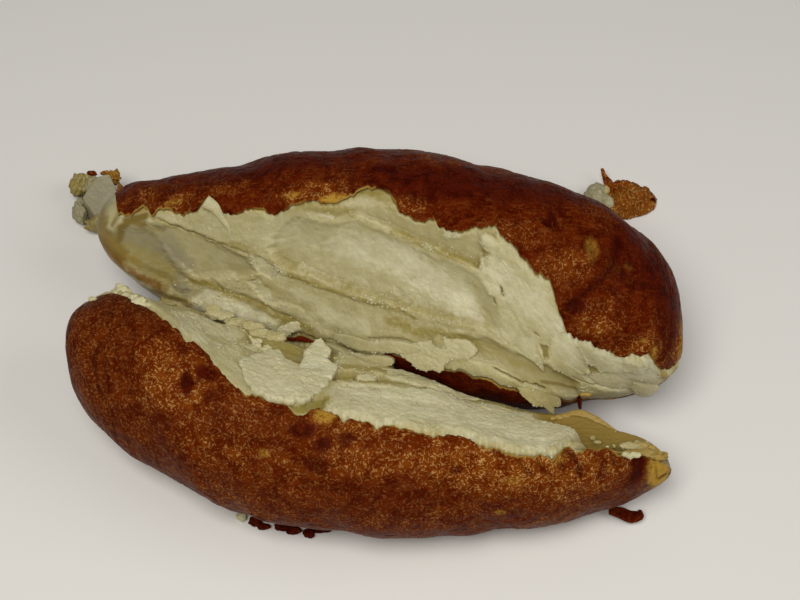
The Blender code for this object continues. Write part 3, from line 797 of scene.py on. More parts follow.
def fleshPiece(half, fields, cracks, flakes, strokes, extra=None):
    # The flesh of one half: a fine torn face, and a coarse back that lies hidden under the skin.
    x = evenRows(half, fleshLook["rowSpacing"])
    loops, outward = halfLoops(half, x)
    start, stop, skinStep, faceStep = tearPlaces(half, x, loops)
    count, corner = loops.shape[1], loopCounts["skin"] - 1
    tucked = np.minimum(fleshLook["underSkin"] / skinStep, corner * 0.2)
    # the fine part starts under the lower torn edge
    first = np.minimum(corner, stop) - tucked
    last = count + np.maximum(0, start) + tucked                  # and ends under the upper one
    place = first[:, None] + (last - first)[:, None] * np.linspace(0, 1, fleshLook["faceColumns"])
    hiddenShare = np.linspace(0, 1, fleshLook["hiddenColumns"] + 2)[1:-1]
    hidden = last[:, None] + (count + first - last)[:, None] * hiddenShare
    skinGap, faceGap = skinStep[:, None], faceStep[:, None]
    width = (count - corner) * faceGap * np.ones_like(place)
    across = np.where(place < count, count - place, 0) * faceGap - np.maximum(place - count, 0) * skinGap
    fromLower = np.where(place > corner, (place - corner) * faceGap, (place - corner) * skinGap)
    across = np.where(place < corner, width - fromLower, across)
    upperEdge = np.where(start < 0, -start * faceStep, -start * skinStep)[:, None]
    lowerEdge = np.where(stop > corner, (stop - corner) * faceStep, (stop - corner) * skinStep)[:, None]
    # mm of bare flesh, below 0 under skin
    bare = np.minimum(across - upperEdge, fromLower - lowerEdge)
    xs = np.broadcast_to(x[:, None], place.shape)
    relief, mealy, crack, tone = fleshRelief(half, xs, across, width, fields, cracks)
    size = np.clip(sectionAt(half, x)[3] / fullHeight, 0, 1)[:, None]
    peel = np.zeros_like(relief)
    if extra:
        relief, mealy, peel = extra(xs, across, width, relief, mealy)
    flakeGap = np.full(relief.shape, -9.0)
    for flake in flakes:
        flakeGap = np.maximum(flakeGap, distanceInside(xs, across, flake[0]))
    aside = np.exp(-(np.maximum(-flakeGap, 0) / fleshLook["dentWidth"]) ** 2)     # close beside a flake
    relief = relief - fleshLook["dent"] * aside
    seed = half["seed"] + 160
    under = {name: strokeStrength(xs, across, strokes[name], seed + 5 * i)
             for i, name in enumerate(("olive", "pale", "ochre", "browned", "glassy", "golden"))}
    # darker olive: the olive strokes, painted shade close beside the flakes, and fields of darker tone
    dull = 1 - (1 - under["olive"]) * (1 - 0.45 * aside) * (1 - np.clip(-tone, 0, 1))
    # paler: the pale strokes and fields of paler tone, partly painted light low on the rear face
    bright = 1 - (1 - under["pale"]) * (1 - np.clip(tone, 0, 1))
    rise = smoothStep(-0.1, 0.6, bare)
    settle = smoothStep(-0.2, 2.0, bare)
    below, lip = fleshLook["below"], fleshLook["lip"]
    offset = -below + rise * lip + settle * (below - lip) + relief * settle * size
    scale = 0.4 + 0.6 * size
    normal = unit(alongLoop(outward, place))
    grid = alongLoop(loops, place) + normal * (offset * scale)[..., None]
    sunk = (below * scale)[..., None]
    back = alongLoop(loops, hidden) - unit(alongLoop(outward, hidden)) * sunk
    rings = np.concatenate([grid, back], 1)
    rings[..., 2] = np.maximum(rings[..., 2], below)
    pad = np.zeros(hidden.shape)

    def values(field):
        return np.concatenate([np.concatenate([field, pad], 1).ravel(), np.zeros(2)])

    # how far the surface stands above its surroundings; the material paints light on raised parts and shade
    # in recesses from it
    proud = relief - softened(relief)
    attributes = {"mealy": values(mealy), "proud": values(proud), "bare": values(bare),
                  "crack": values(crack), "peel": values(peel), "dull": values(dull),
                  "bright": values(bright),
                  **{name: values(under[name]) for name in ("ochre", "browned", "glassy", "golden")}}
    ends = [onSkin(half, half["stations"][i][0], 0) for i in (0, -1)]
    inset = np.array((0.4, 0, 0))
    edges = np.clip(np.abs(proud) / 0.3, 0, 1.5) ** 1.5
    clusters = np.exp(crumbLook["clumping"] * smoothNoise(flat3(xs, across, 5, 4, 9.1), seed + 30))
    chance = (crumbLook["stray"] + edges) * mealy ** 2 * clusters * (bare > crumbLook["fromSkin"])
    chance = chance * (1 - peel) * smoothStep(*crumbLook["clearEnd"], xs)
    spots = {"place": grid, "normal": normal, "chance": chance, "bare": bare}
    piece = ringedMesh("flesh_" + half["name"], toRow(rings), toRow(ends[0] + inset),
                       toRow(ends[1] - inset), attributes)
    return piece, spots


# Flakes that stand off the torn faces: outline of (x, mm below the upper rim), rise of the top, slopes
# along x
# and across, bow, mealiness, thickness and how pale it is.
backFlakes = (
    (((-23.8, 31.6), (-22.6, 30.2), (-21, 29.9), (-19.6, 28.8), (-17.4, 29.4), (-17.2, 31.4), (-19, 32.2),
      (-20.8, 33.3), (-22.8, 33.0)), 0.15, 0.0, -0.03, 0.2, 0.8, 1.1, 0.4),
    (((-9, 31), (-6.5, 32.8), (0.5, 31.6), (8, 30.3), (12, 30.3), (8, 33), (3.5, 34.2), (-4.5, 34.8),
      (-9.5, 33.5)),
     0.45, 0.0, -0.03, 0.2, 0.3, 2.0, 0.1),
    (((-12, 34), (-8, 35.4), (-5.5, 36), (0.5, 35.2), (4, 35.2), (4, 37), (-2, 39.8), (-8, 39.3),
      (-12.5, 37.5)),
     0.3, 0.0, -0.04, 0.5, 0.25, 2.4, 0.0),
    (((5, 34), (8.5, 30), (13, 27), (16, 26.2), (21, 24.8), (23, 26.5), (21, 29), (16.5, 31), (14.5, 34.5),
      (10, 35.8)),
     0.2, 0.0, -0.02, 0.3, 0.6, 2.0, 0.2),
    (((31, 29), (33, 26.6), (36, 25.4), (39.5, 23.9), (41.8, 24.2), (42.4, 26.2), (40.4, 27.2),
      (40.6, 29.4), (37.6, 29), (35.4, 30.6), (32.5, 30.2)),
     -0.6, 0.0, 0.02, 0.1, 0.4, 0.8, -0.45),
    (((58, 8), (63.5, 7.5), (65.5, 10.5), (63.5, 14), (60, 14), (57.5, 11)), 0.0, 0.0, 0.0, 0.6, 0.2, 2.0,
     0.1),
)
frontFlakes = (
    (((-30, 9.5), (-28.5, 13.5), (-27, 16), (-24, 19.8), (-21.6, 21.6), (-20.4, 18.6), (-17, 17.4),
      (-12, 18.5), (-8.8, 19.5), (-9.5, 15.5), (-10.5, 11.5), (-12.5, 7.5), (-15, 3), (-18.5, 0.8),
      (-22.5, 0.5), (-26, 1.5), (-28.5, 5)),
     1.05, 0.01, -0.01, 0.7, 0.8, 2.2, 0.6),
    (((-17, 15), (-16.3, 20), (-16, 23), (-15, 27), (-14, 30), (-12.5, 32), (-11.5, 29), (-10, 26.5),
      (-11.5, 22), (-8.5, 20), (-9.5, 14)), 1.35, 0.0, -0.02, 0.1, 0.85, 2.4, 1.0),
    (((-4, 19.5), (-2, 22), (0.3, 21), (0.3, 18.5), (-3, 17.5)), 0.2, 0.0, 0.0, 0.4, 0.8, 1.8, 0.4),
    (((1, 25.5), (6, 27), (11, 26), (16.5, 24.5), (22, 23.5), (26, 22), (20, 20.5), (14, 20.5), (8, 22),
      (2, 22.5)),
     0.0, 0.0, 0.0, 0.3, 0.8, 1.8, 0.2),
)


class FaceFrame:
    # the straight torn face of a half as a place, a direction across and an outward direction at any x
    def __init__(self, half):
        self.x = evenRows(half, 1.0)
        loops, outward = halfLoops(half, self.x)
        _, faceStep = loopSteps(loops)
        count, face = loops.shape[1], loopCounts["face"]
        near, far = int(count - face * 0.3), int(count - face * 0.7)
        gap = (near - far) * faceStep[:, None]
        self.across = (loops[:, far] - loops[:, near]) / gap
        self.origin = loops[:, near] - self.across * (count - near) * faceStep[:, None]
        self.normal = unit(outward[:, (near + far) // 2])

    def at(self, x, across, height):
        origin, along, normal = (np.stack([np.interp(x, self.x, table[:, i]) for i in range(3)], -1)
                                 for table in (self.origin, self.across, self.normal))
        return origin + along * across[..., None] + normal * height[..., None]


def outlineRadius(centre, theta, outline):
    # distance from the centre to the farthest crossing of the outline in each direction
    best = np.zeros_like(theta)
    ux, uy = np.cos(theta), np.sin(theta)
    corners = np.array(outline + outline[:1], float) - centre
    for (ax, ay), (bx, by) in zip(corners[:-1], corners[1:]):
        ex, ey = bx - ax, by - ay
        cross = ux * ey - uy * ex
        safe = np.where(np.abs(cross) < 1e-9, 1e-9, cross)
        reach = (ax * ey - ay * ex) / safe
        share = (ax * uy - ay * ux) / safe
        best = np.where((share >= 0) & (share <= 1) & (reach > best), reach, best)
    return best


def outlineRim(outline, around):
    # the middle of an outline, the directions round it, how far it reaches in each, and its points
    corners = np.array(outline, float)
    centre = (corners.min(0) + corners.max(0)) / 2
    theta = np.linspace(0, 2 * math.pi, around, endpoint=False)
    radius = outlineRadius(centre, theta, outline)
    radius = (radius + np.roll(radius, 1) + np.roll(radius, -1)) / 3
    rim = np.stack([centre[0] + radius * np.cos(theta), centre[1] + radius * np.sin(theta), theta * 0], -1)
    return centre, theta, radius, rim


def filled(shape, fields):
    return {key: np.full(shape, value) for key, value in fields.items()}


def flakeGrid(faceFrame, flake, seed):
    # One flake: rings from the middle of its top out to a ragged rim, then down its side and under.
    outline, rise, along, over, bow, meal, thickness, glow = flake
    corners = np.array(outline, float)
    perimeter = np.linalg.norm(np.diff(np.vstack([corners, corners[:1]]), axis=0), axis=1).sum()
    around = int(np.clip(perimeter / flakeLook["pointGap"], 60, 260))
    centre, theta, radius, rim = outlineRim(outline, around)
    ragged = (flakeLook["ragged"] * fractalNoise(rim / 2.6, seed, 4, 0.7)
              + flakeLook["fray"] * smoothNoise(rim / 0.7, seed + 9))
    ringCount = int(np.clip(radius.max() / flakeLook["ringGap"], 8, 74))
    share = np.concatenate([1 - (1 - np.linspace(1 / ringCount, 1, ringCount)) ** 1.15,
                            [1.02, 0.97, 0.8]])[:, None]
    drop = np.concatenate([np.zeros(ringCount), [0.35, 1.0, 1.0]])[:, None]
    reach = share * (radius + ragged * np.minimum(share, 1) ** 7)
    x = centre[0] + reach * np.cos(theta)
    across = centre[1] + reach * np.sin(theta)
    inward = np.maximum(1 - share, 0) * radius
    mealy = np.clip(meal + 0.3 * fractalNoise(flat3(x, across, 4, 3, 1.7), seed + 1, 3), 0, 1)
    dome = bow * (1 - np.minimum(share,
                                 1) ** 2.2) + rise + along * (x - centre[0]) + over * (across - centre[1])
    texture = mealyTexture(x, across, mealy, seed + 40)
    top = dome + texture - flakeLook["edgeFall"] * np.exp(-inward / 0.22)
    height = top - drop * thickness
    points = faceFrame.at(x, across, height)
    under = faceFrame.at(centre[:1], centre[1:], np.array([rise - thickness]))[0]
    middle = faceFrame.at(centre[:1], centre[1:], np.array([dome[0].mean() + texture[0].mean()]))[0]
    # a painted highlight along the rim, and painted shade down the side and underneath
    proud = (texture - texture.mean()) + 0.35 * np.exp(-inward / 0.5) - drop * 1.2
    bare = np.full(x.shape, 4.0)
    # darker as painted shade on the side and underneath, and where the flake is olive
    dull = np.clip(0.9 * drop + max(-glow, 0), 0, 1) + x * 0
    return points, middle, under, {"mealy": mealy * (1 - 0.5 * drop), "proud": proud, "bare": bare,
                                   "dull": dull, "bright": x * 0 + max(glow, 0)}


def joinedGrids(name, grids):
    # joins closed grids of rings, each capped by a pole at both ends, into one mesh
    names = sorted({key for grid in grids for key in grid[3]})
    points, quads, triangles, fields, offset = [], [], [], {key: [] for key in names}, 0
    for rings, first, last, values in grids:
        rows, columns = rings.shape[:2]
        index = offset + np.arange(rows * columns).reshape(rows, columns)
        turned = np.roll(index, -1, 1)
        quads.append(np.stack([index[:-1], index[1:], turned[1:], turned[:-1]], -1).reshape(-1, 4))
        poleA, poleB = offset + rows * columns, offset + rows * columns + 1
        full = np.full(columns, 1)
        triangles.append(np.stack([full * poleA, index[0], turned[0]], -1))
        triangles.append(np.stack([full * poleB, turned[-1], index[-1]], -1))
        points += [rings.reshape(-1, 3), first[None], last[None]]
        for key in names:
            value = values.get(key, np.zeros((rows, columns)))
            fields[key].append(np.concatenate([value.ravel(), value[0, :1], value[-1, :1]]))
        offset += rows * columns + 2
    return facesMesh(name, toRow(np.concatenate(points)), np.concatenate(quads), np.concatenate(triangles),
                     {key: np.concatenate(value) for key, value in fields.items()})


def lumpGrid(centre, sizes, seed, rough=0.3, grain=2.2, rows=18, columns=30, **fields):
    # A closed blob: a ball stretched to its half sizes, each point pushed along its radius by noise.
    lean = np.linspace(0, math.pi, rows + 2)[1:-1, None]
    bearing = np.linspace(0, 2 * math.pi, columns, endpoint=False)[None]
    ball = np.stack([np.sin(lean) * np.cos(bearing), np.sin(lean) * np.sin(bearing),
                     np.cos(lean) + 0 * bearing], -1)
    ends = np.array([(0, 0, 1), (0, 0, -1)], float)
    sizes = np.array(sizes, float)

    def pushed(ball):
        push = 1 + rough * fractalNoise(ball * sizes / grain + seed * 0.37, seed, 4, 0.65)
        points = np.array(centre) + ball * sizes * push[..., None]
        points[..., 2] = np.maximum(points[..., 2], 0.02)
        return points

    tips = pushed(ends)
    return pushed(ball), tips[0], tips[1], filled((rows, columns), fields)


def ribbonGrid(path, halfWidths, halfThick, seed, up=(0, 0, 1), sides=14, steps=26, rough=0.25, **fields):
    # A closed strip along a path: flattened rings across it, narrowing towards both ends.
    path = np.array(path, float)
    at = np.linspace(0, len(path) - 1, steps)
    middle = np.stack([throughStations(np.arange(len(path)), path[:, i], at) for i in range(3)], -1)
    along = unit(np.gradient(middle, axis=0))
    across = unit(np.cross(along, np.broadcast_to(up, along.shape)))
    normal = np.cross(across, along)
    wide = np.interp(at, np.arange(len(path)), halfWidths)[:, None, None]
    turn = np.linspace(0, 2 * math.pi, sides, endpoint=False)[None, :, None]
    rings = (middle[:, None] + wide * np.cos(turn) * across[:, None]
             + halfThick * np.sin(turn) * normal[:, None])
    rings = rings + (rough * halfThick * fractalNoise(rings / 1.1, seed, 3)[..., None]
                     * (normal + across)[:, None])
    tip = 0.2 * along
    return rings, middle[0] - tip[0], middle[-1] + tip[-1], filled(rings.shape[:2], fields)


def moundGrid(outline, heightAt, seed, rim=0.8, ragged=0.5, blister=0.25, grain=1.6, around=120,
              ringCount=26, **fields):
    # A piece lying on the floor: rings from its middle out to a ragged rim at the given height, then in
    # underneath.
    centre, bearing, radius, edge = outlineRim(outline, around)
    radius = radius + ragged * fractalNoise(edge / 1.8, seed, 4, 0.7)
    share = np.concatenate([np.linspace(1 / ringCount, 1, ringCount), [0.99, 0.94, 0.7]])[:, None]
    reach = share * radius
    x, y = centre[0] + reach * np.cos(bearing), centre[1] + reach * np.sin(bearing)
    bumps = blister * fractalNoise(np.stack([x, y, x * 0], -1) / grain, seed + 3, 4, 0.6)
    height = heightAt(x, y) + bumps
    level = np.where(share < 1, height, rim + bumps)
    level = level + (rim + bumps - level) * smoothStep(0.86, 1.0, share)
    level[-3:] = np.array([0.6, 0.25, 0.05])[:, None] * rim
    rings = np.stack([x, y, np.maximum(level, 0.03)], -1)
    middle = np.array([centre[0], centre[1], rings[0, :, 2].mean()])
    return rings, middle, np.array([centre[0], centre[1], 0.03]), filled(rings.shape[:2], fields)


def crumbsPiece(name, spots, counts, seed):
    # Little grains of flesh: twenty-sided solids whose corners are pushed in or out at random, flattened
    # along
    # the surface's direction, strewn where the flesh is mealy and broken.
    rng = np.random.default_rng(seed)
    golden = (1 + 5 ** 0.5) / 2
    ball = np.array([(-1, golden, 0), (1, golden, 0), (-1, -golden, 0), (1, -golden, 0), (0, -1, golden),
                     (0, 1, golden), (0, -1, -golden), (0, 1, -golden), (golden, 0, -1), (golden, 0, 1),
                     (-golden, 0, -1), (-golden, 0, 1)]) / math.hypot(1, golden)
    sides = np.array([(0, 11, 5), (0, 5, 1), (0, 1, 7), (0, 7, 10), (0, 10, 11), (1, 5, 9), (5, 11, 4),
                      (11, 10, 2), (10, 7, 6), (7, 1, 8), (3, 9, 4), (3, 4, 2), (3, 2, 6), (3, 6, 8),
                      (3, 8, 9), (4, 9, 5), (2, 4, 11), (6, 2, 10), (8, 6, 7), (9, 8, 1)])
    places, normals, bares = [], [], []
    for spot, count in zip(spots, counts):
        chance = spot["chance"].ravel()
        pick = rng.choice(len(chance), count, p=chance / chance.sum())
        places.append(spot["place"].reshape(-1, 3)[pick])
        normals.append(spot["normal"].reshape(-1, 3)[pick])
        bares.append(spot["bare"].ravel()[pick])
    places, normals, bares = (np.concatenate(part) for part in (places, normals, bares))
    count = len(places)
    span = crumbLook["largest"] - crumbLook["smallest"]
    radii = crumbLook["smallest"] + span * rng.random(count) ** 2.2
    first = unit(np.cross(normals, rng.normal(size=(count, 3))))
    second = np.cross(normals, first)
    push = 1 + crumbLook["uneven"] * rng.uniform(-1, 1, (count, 12))
    local = ball * (push * radii[:, None])[..., None]
    stretch = rng.uniform(0.8, 1.6, count)[:, None, None]
    points = (places[:, None] + local[..., :1] * stretch * first[:, None]
              + local[..., 1:2] * second[:, None]
              + crumbLook["flat"] * (local[..., 2:] + 0.1 * radii[:, None, None]) * normals[:, None])
    faces = (sides + 12 * np.arange(count)[:, None, None]).reshape(-1, 3)
    each = np.ones((count, 12))
    # crumbs count as raised, so they take the painted light of raised parts
    values = {"mealy": each, "proud": 0.5 * each, "bare": each * bares[:, None],
              "bright": each * 0.6 * rng.random((count, 1)), "dull": each * 0}
    return facesMesh(name, toRow(points.reshape(-1, 3)), np.zeros((0, 4), int), faces, values)


def flakesPiece(half, flakes):
    faceFrame = FaceFrame(half)
    grids = [flakeGrid(faceFrame, flake, half["seed"] + 300 + 50 * i) for i, flake in enumerate(flakes)]
    spots = []
    for rings, _, _, values in grids:
        x, none = rings[..., 0], np.zeros(rings.shape[:2])
        outward = unit(faceFrame.at(x, none, none + 1) - faceFrame.at(x, none, none))
        chance = np.exp(-np.abs(np.arange(len(rings)) - len(rings) + 5) / 2.5)[:,
            None] * np.ones(rings.shape[1])
        spots.append({"place": rings.reshape(-1, 3), "normal": outward.reshape(-1, 3),
                      "chance": chance.ravel(), "bare": values["bare"].ravel()})
    joined = {key: np.concatenate([spot[key] for spot in spots]) for key in spots[0]}
    return joinedGrids("flakes_" + half["name"], grids), joined


def addNode(tree, kind, settings=None, **sockets):
    # a node with its settings, and its sockets set to a value or linked to another socket
    node = tree.nodes.new("ShaderNode" + kind)
    for key, value in (settings or {}).items():
        setattr(node, key, value)
    for key, value in sockets.items():
        socket = next(s for s in node.inputs if s.name.replace(" ", "") == key and s.enabled)
        plug(tree, socket, value)
    return node


def plug(tree, socket, value):
    if isinstance(value, bpy.types.NodeSocket):
        tree.links.new(value, socket)
    elif isinstance(value, tuple) and len(value) == 3 and len(socket.default_value) == 4:
        socket.default_value = (*value, 1)
    else:
        socket.default_value = value


def mixColour(tree, factor, low, high, blend="MIX"):
    node = addNode(tree, "Mix", {"data_type": "RGBA", "blend_type": blend})
    for socket, value in ((node.inputs[0], factor), (node.inputs[6], low), (node.inputs[7], high)):
        plug(tree, socket, value)
    return node.outputs[2]


def compute(tree, operation, a, b=0.0, clamp=False):
    node = addNode(tree, "Math", {"operation": operation, "use_clamp": clamp})
    plug(tree, node.inputs[0], a)
    plug(tree, node.inputs[1], b)
    return node.outputs[0]


def attribute(tree, name):
    return addNode(tree, "Attribute", {"attribute_name": name}).outputs["Fac"]


def remap(tree, value, low, high, toLow=0.0, toHigh=1.0):
    node = addNode(tree, "MapRange", {"interpolation_type": "SMOOTHSTEP"}, Value=value, FromMin=low,
                   FromMax=high, ToMin=toLow, ToMax=toHigh)
    return node.outputs["Result"]


def newMaterial(name):
    material = bpy.data.materials.new(name)
    material.use_nodes = True
    tree = material.node_tree
    return material, tree, tree.nodes["Principled BSDF"], addNode(tree, "TexCoord").outputs["Object"]


def noiseTexture(tree, place, perMetre, detail=3.0, roughness=0.5, distortion=0.0, stretch=None):
    if stretch:
        place = addNode(tree, "Mapping", Vector=place, Scale=stretch).outputs["Vector"]
    return addNode(tree, "TexNoise", Vector=place, Scale=perMetre, Detail=detail, Roughness=roughness,
                   Distortion=distortion).outputs["Fac"]


skinColours = {
    "deep": (0.054, 0.0040, 0.0004), "brown": (0.096, 0.0100, 0.0009), "orange": (0.160, 0.034, 0.0050),
    "goldDeep": (0.118, 0.0155, 0.0004), "goldMid": (0.195, 0.045, 0.0035),
    "goldLight": (0.520, 0.280, 0.0850), "crimsonDeep": (0.034, 0.0030, 0.0012),
    "crimson": (0.066, 0.0056, 0.0022), "yellow": (0.480, 0.280, 0.0380),
    "tornEdge": (0.330, 0.205, 0.0420), "inner": (0.400, 0.240, 0.0500),
}


# noise cells to the metre, and the finish
skinNoise = {"broad": 70, "net": 1050, "breaks": 1500, "spots": 330, "wrinkles": 1000}
skinFinish = {"specular": 0.016, "tint": (1.0, 0.62, 0.34, 1.0), "bump": 0.6, "bumpHeight": 0.00030}


def skinMaterial():
    # dark baked skin with a tight net of short bright dashes, stronger in its golden places
    material, tree, shader, place = newMaterial("baked_skin")
    shade = skinColours
    golden, crimson, yellow = (attribute(tree, name) for name in ("golden", "crimson", "yellow"))
    torn, inside = attribute(tree, "torn"), attribute(tree, "inside")
    broad = noiseTexture(tree, place, skinNoise["broad"], 4, 0.6)
    net = noiseTexture(tree, place, skinNoise["net"], 1.6, 0.45, 0.6)
    breaks = noiseTexture(tree, place, skinNoise["breaks"], 1, 0.5)
    spots = noiseTexture(tree, place, skinNoise["spots"], 3, 0.6)
    golden = compute(tree, "ADD", golden, remap(tree, broad, 0.52, 0.74, 0.0, 0.20), True)
    fromMiddle = compute(tree, "ABSOLUTE", compute(tree, "SUBTRACT", net, 0.5))
    dash = compute(tree, "MULTIPLY", remap(tree, fromMiddle, 0.060, 0.012), remap(tree, breaks, 0.42, 0.54))
    dash = compute(tree, "MULTIPLY", dash, remap(tree, spots, 0.30, 0.60, 0.25, 1.0))
    low = mixColour(tree, golden, shade["deep"], shade["goldDeep"])
    middle = mixColour(tree, golden, shade["brown"], shade["goldMid"])
    high = mixColour(tree, golden, shade["orange"], shade["goldLight"])
    low = mixColour(tree, crimson, low, shade["crimsonDeep"])
    middle = mixColour(tree, crimson, middle, shade["crimson"])
    high = mixColour(tree, crimson, high, shade["brown"])
    colour = mixColour(tree, remap(tree, spots, 0.36, 0.62), low, middle)
    colour = mixColour(tree, dash, colour, high)
    wrinkles = noiseTexture(tree, place, skinNoise["wrinkles"], 3, 0.6, 0.8, (0.22, 1.0, 1.0))
    streak = compute(tree, "MULTIPLY", remap(tree, wrinkles, 0.52, 0.66, 0.0, 0.55),
                     remap(tree, golden, 0.35, 0.0))
    colour = mixColour(tree, streak, colour, high)
    grainy = compute(tree, "ADD", remap(tree, net, 0.36, 0.56, 0.35, 1.0),
                     remap(tree, yellow, 0.6, 1.0, 0.0, 0.5), True)
    colour = mixColour(tree, compute(tree, "MULTIPLY", yellow, grainy), colour, shade["yellow"])
    # painted shade in the creases, and the eyes' own dark slits
    colour = mixColour(tree, attribute(tree, "fold"), colour, shade["crimsonDeep"])
    edge = compute(tree, "MULTIPLY", remap(tree, torn, 0.1, 0.9, 1.0, 0.0), remap(tree, broad, 0.47, 0.58))
    colour = mixColour(tree, edge, colour, shade["tornEdge"])
    colour = mixColour(tree, inside, colour, shade["inner"])
    tree.links.new(colour, shader.inputs["Base Color"])
    tree.links.new(remap(tree, spots, 0.3, 0.7, 0.26, 0.44), shader.inputs["Roughness"])
    shader.inputs["Specular IOR Level"].default_value = skinFinish["specular"]
    shader.inputs["Specular Tint"].default_value = skinFinish["tint"]
    lumps = compute(tree, "ADD", net, compute(tree, "ADD", compute(tree, "MULTIPLY", dash, 0.25), wrinkles))
    bump = addNode(tree, "Bump", Strength=skinFinish["bump"], Distance=skinFinish["bumpHeight"],
                   Height=lumps)
    tree.links.new(bump.outputs["Normal"], shader.inputs["Normal"])
    return material


# the dark olive hollow colour serves as painted shade in recesses, beside flakes and down their sides, and
# as the flesh's own olive in strokes and mottling
fleshColours = {
    "waxy": (0.395, 0.345, 0.170), "mealy": (0.545, 0.495, 0.275), "hollow": (0.300, 0.236, 0.056),
    "bright": (0.720, 0.690, 0.475), "nearSkin": (0.420, 0.300, 0.078), "peeled": (0.255, 0.172, 0.034),
    "crack": (0.150, 0.095, 0.030), "ochre": (0.205, 0.140, 0.022), "browned": (0.190, 0.092, 0.009),
    "glassy": (0.275, 0.250, 0.160), "golden": (0.380, 0.232, 0.030),
}


fleshNoise = {"tone": 90, "fine": 420, "mottle": 330, "sparkle": 1700, "bump": 1300}
fleshFinish = {"specular": 0.40, "spread": (1.0, 0.85, 0.45), "bump": 0.55, "bumpHeight": 0.0003}


def fleshMaterial(name, glow, depth):
    # flesh from waxy to mealy, with the coloured strokes over it, painted light on its raised parts,
    # painted shade in its recesses, its cracks and beside its flakes, and painted glints; glow and depth
    # set how light spreads inside
    material, tree, shader, place = newMaterial(name)
    shade = fleshColours
    mealy, proud, bare = (attribute(tree, name) for name in ("mealy", "proud", "bare"))
    crack, peel = attribute(tree, "crack"), attribute(tree, "peel")
    tone = noiseTexture(tree, place, fleshNoise["tone"], 4, 0.6)
    # paler where mealy, with painted light on the raised parts of the relief
    pale = compute(tree, "ADD", compute(tree, "MULTIPLY", mealy, 0.75),
                   remap(tree, proud, -0.5, 0.8, 0.0, 0.65), True)
    pale = compute(tree, "MULTIPLY", pale, remap(tree, tone, 0.3, 0.7, 0.72, 1.15), True)
    colour = mixColour(tree, pale, shade["waxy"], shade["mealy"])
    colour = mixColour(tree, compute(tree, "MULTIPLY", attribute(tree, "bright"), 0.8), colour,
                       shade["bright"])
    # painted shade in the recesses of the relief
    colour = mixColour(tree, remap(tree, proud, -0.10, -0.8, 0.0, 0.8), colour, shade["hollow"])
    fine = remap(tree, noiseTexture(tree, place, fleshNoise["fine"], 3, 0.6), 0.3, 0.6, 0.55, 1.0)
    # darker olive where marked, partly the flesh's own olive and partly painted shade
    colour = mixColour(tree, compute(tree, "MULTIPLY", attribute(tree, "dull"), fine), colour,
                       shade["hollow"])
    skinward = compute(tree, "MULTIPLY", remap(tree, bare, 1.4, 0.1),
                       remap(tree, tone, 0.45, 0.65, 0.1, 0.8))
    colour = mixColour(tree, skinward, colour, shade["nearSkin"])
    mottle = remap(tree, noiseTexture(tree, place, fleshNoise["mottle"], 4, 0.65), 0.35, 0.65, 0.0, 0.22)
    colour = mixColour(tree, mottle, colour, shade["hollow"])
    # painted glints: small bright specks on the mealy flesh
    sparkle = remap(tree, noiseTexture(tree, place, fleshNoise["sparkle"], 2, 0.5), 0.60, 0.70, 0.0, 0.55)
    colour = mixColour(tree, compute(tree, "MULTIPLY", sparkle, mealy), colour, shade["bright"])
    colour = mixColour(tree, attribute(tree, "glassy"), colour, shade["glassy"])
    colour = mixColour(tree, attribute(tree, "ochre"), colour, shade["ochre"])
    colour = mixColour(tree, attribute(tree, "golden"), colour, shade["golden"])
    colour = mixColour(tree, compute(tree, "MULTIPLY", attribute(tree, "browned"), fine), colour,
                       shade["browned"])
    colour = mixColour(tree, peel, colour, shade["peeled"])
    # painted shade in the cracks, brownish, darker the deeper they are
    colour = mixColour(tree, remap(tree, crack, 0.25, 0.9, 0.0, 0.85), colour, shade["crack"])
    tree.links.new(colour, shader.inputs["Base Color"])
    tree.links.new(remap(tree, mealy, 0.0, 1.0, 0.34, 0.62), shader.inputs["Roughness"])
    shader.inputs["Specular IOR Level"].default_value = fleshFinish["specular"]
    shader.inputs["Subsurface Weight"].default_value = glow
    shader.inputs["Subsurface Radius"].default_value = fleshFinish["spread"]
    shader.inputs["Subsurface Scale"].default_value = depth
    bump = addNode(tree, "Bump", Strength=fleshFinish["bump"], Distance=fleshFinish["bumpHeight"],
                   Height=noiseTexture(tree, place, fleshNoise["bump"], 3, 0.6))
    tree.links.new(bump.outputs["Normal"], shader.inputs["Normal"])
    return material


def show(piece, material, node):
    piece.data.materials.append(material)
    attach(piece, "root")
    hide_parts(node)
    return piece


skin = skinMaterial()
flesh = fleshMaterial("baked_flesh", 0.50, 0.0036)
flaked = fleshMaterial("flaked_flesh", 0.25, 0.0008)       # small pieces, which let less light spread
backPatches = {"golden": backGoldenAndLight, "crimson": backCrimsonAndShade, "yellow": backYellow}
frontPatches = {"golden": frontGolden, "crimson": frontCrimson, "yellow": frontYellow}
for half, eyes, folds, patches, fields, cracks, extra, flakes, strokes in (
        (backHalf, backEyes, backFolds, backPatches, backFields, backCracks, None, backFlakes, backStrokes),
        (frontHalf, frontEyes, frontFolds, frontPatches, frontFields, frontCracks, peeledTrough,
         frontFlakes, frontStrokes)):
    show(skinPiece(half, eyes, folds, patches), skin, half["name"])
    fleshOfHalf, fleshSpots = fleshPiece(half, fields, cracks, flakes, strokes, extra)
    show(fleshOfHalf, flesh, half["name"])
    flakesOfHalf, flakeSpots = flakesPiece(half, flakes)
    show(flakesOfHalf, flaked, half["name"])
    side = half["name"].split("_")[1]
    crumbs = crumbsPiece("crumbs_" + half["name"], (fleshSpots, flakeSpots),
                         (crumbLook[side], crumbLook["onFlakes"]), half["seed"] + 900)
    show(crumbs, flaked, half["name"])
    print(half["name"], "made")


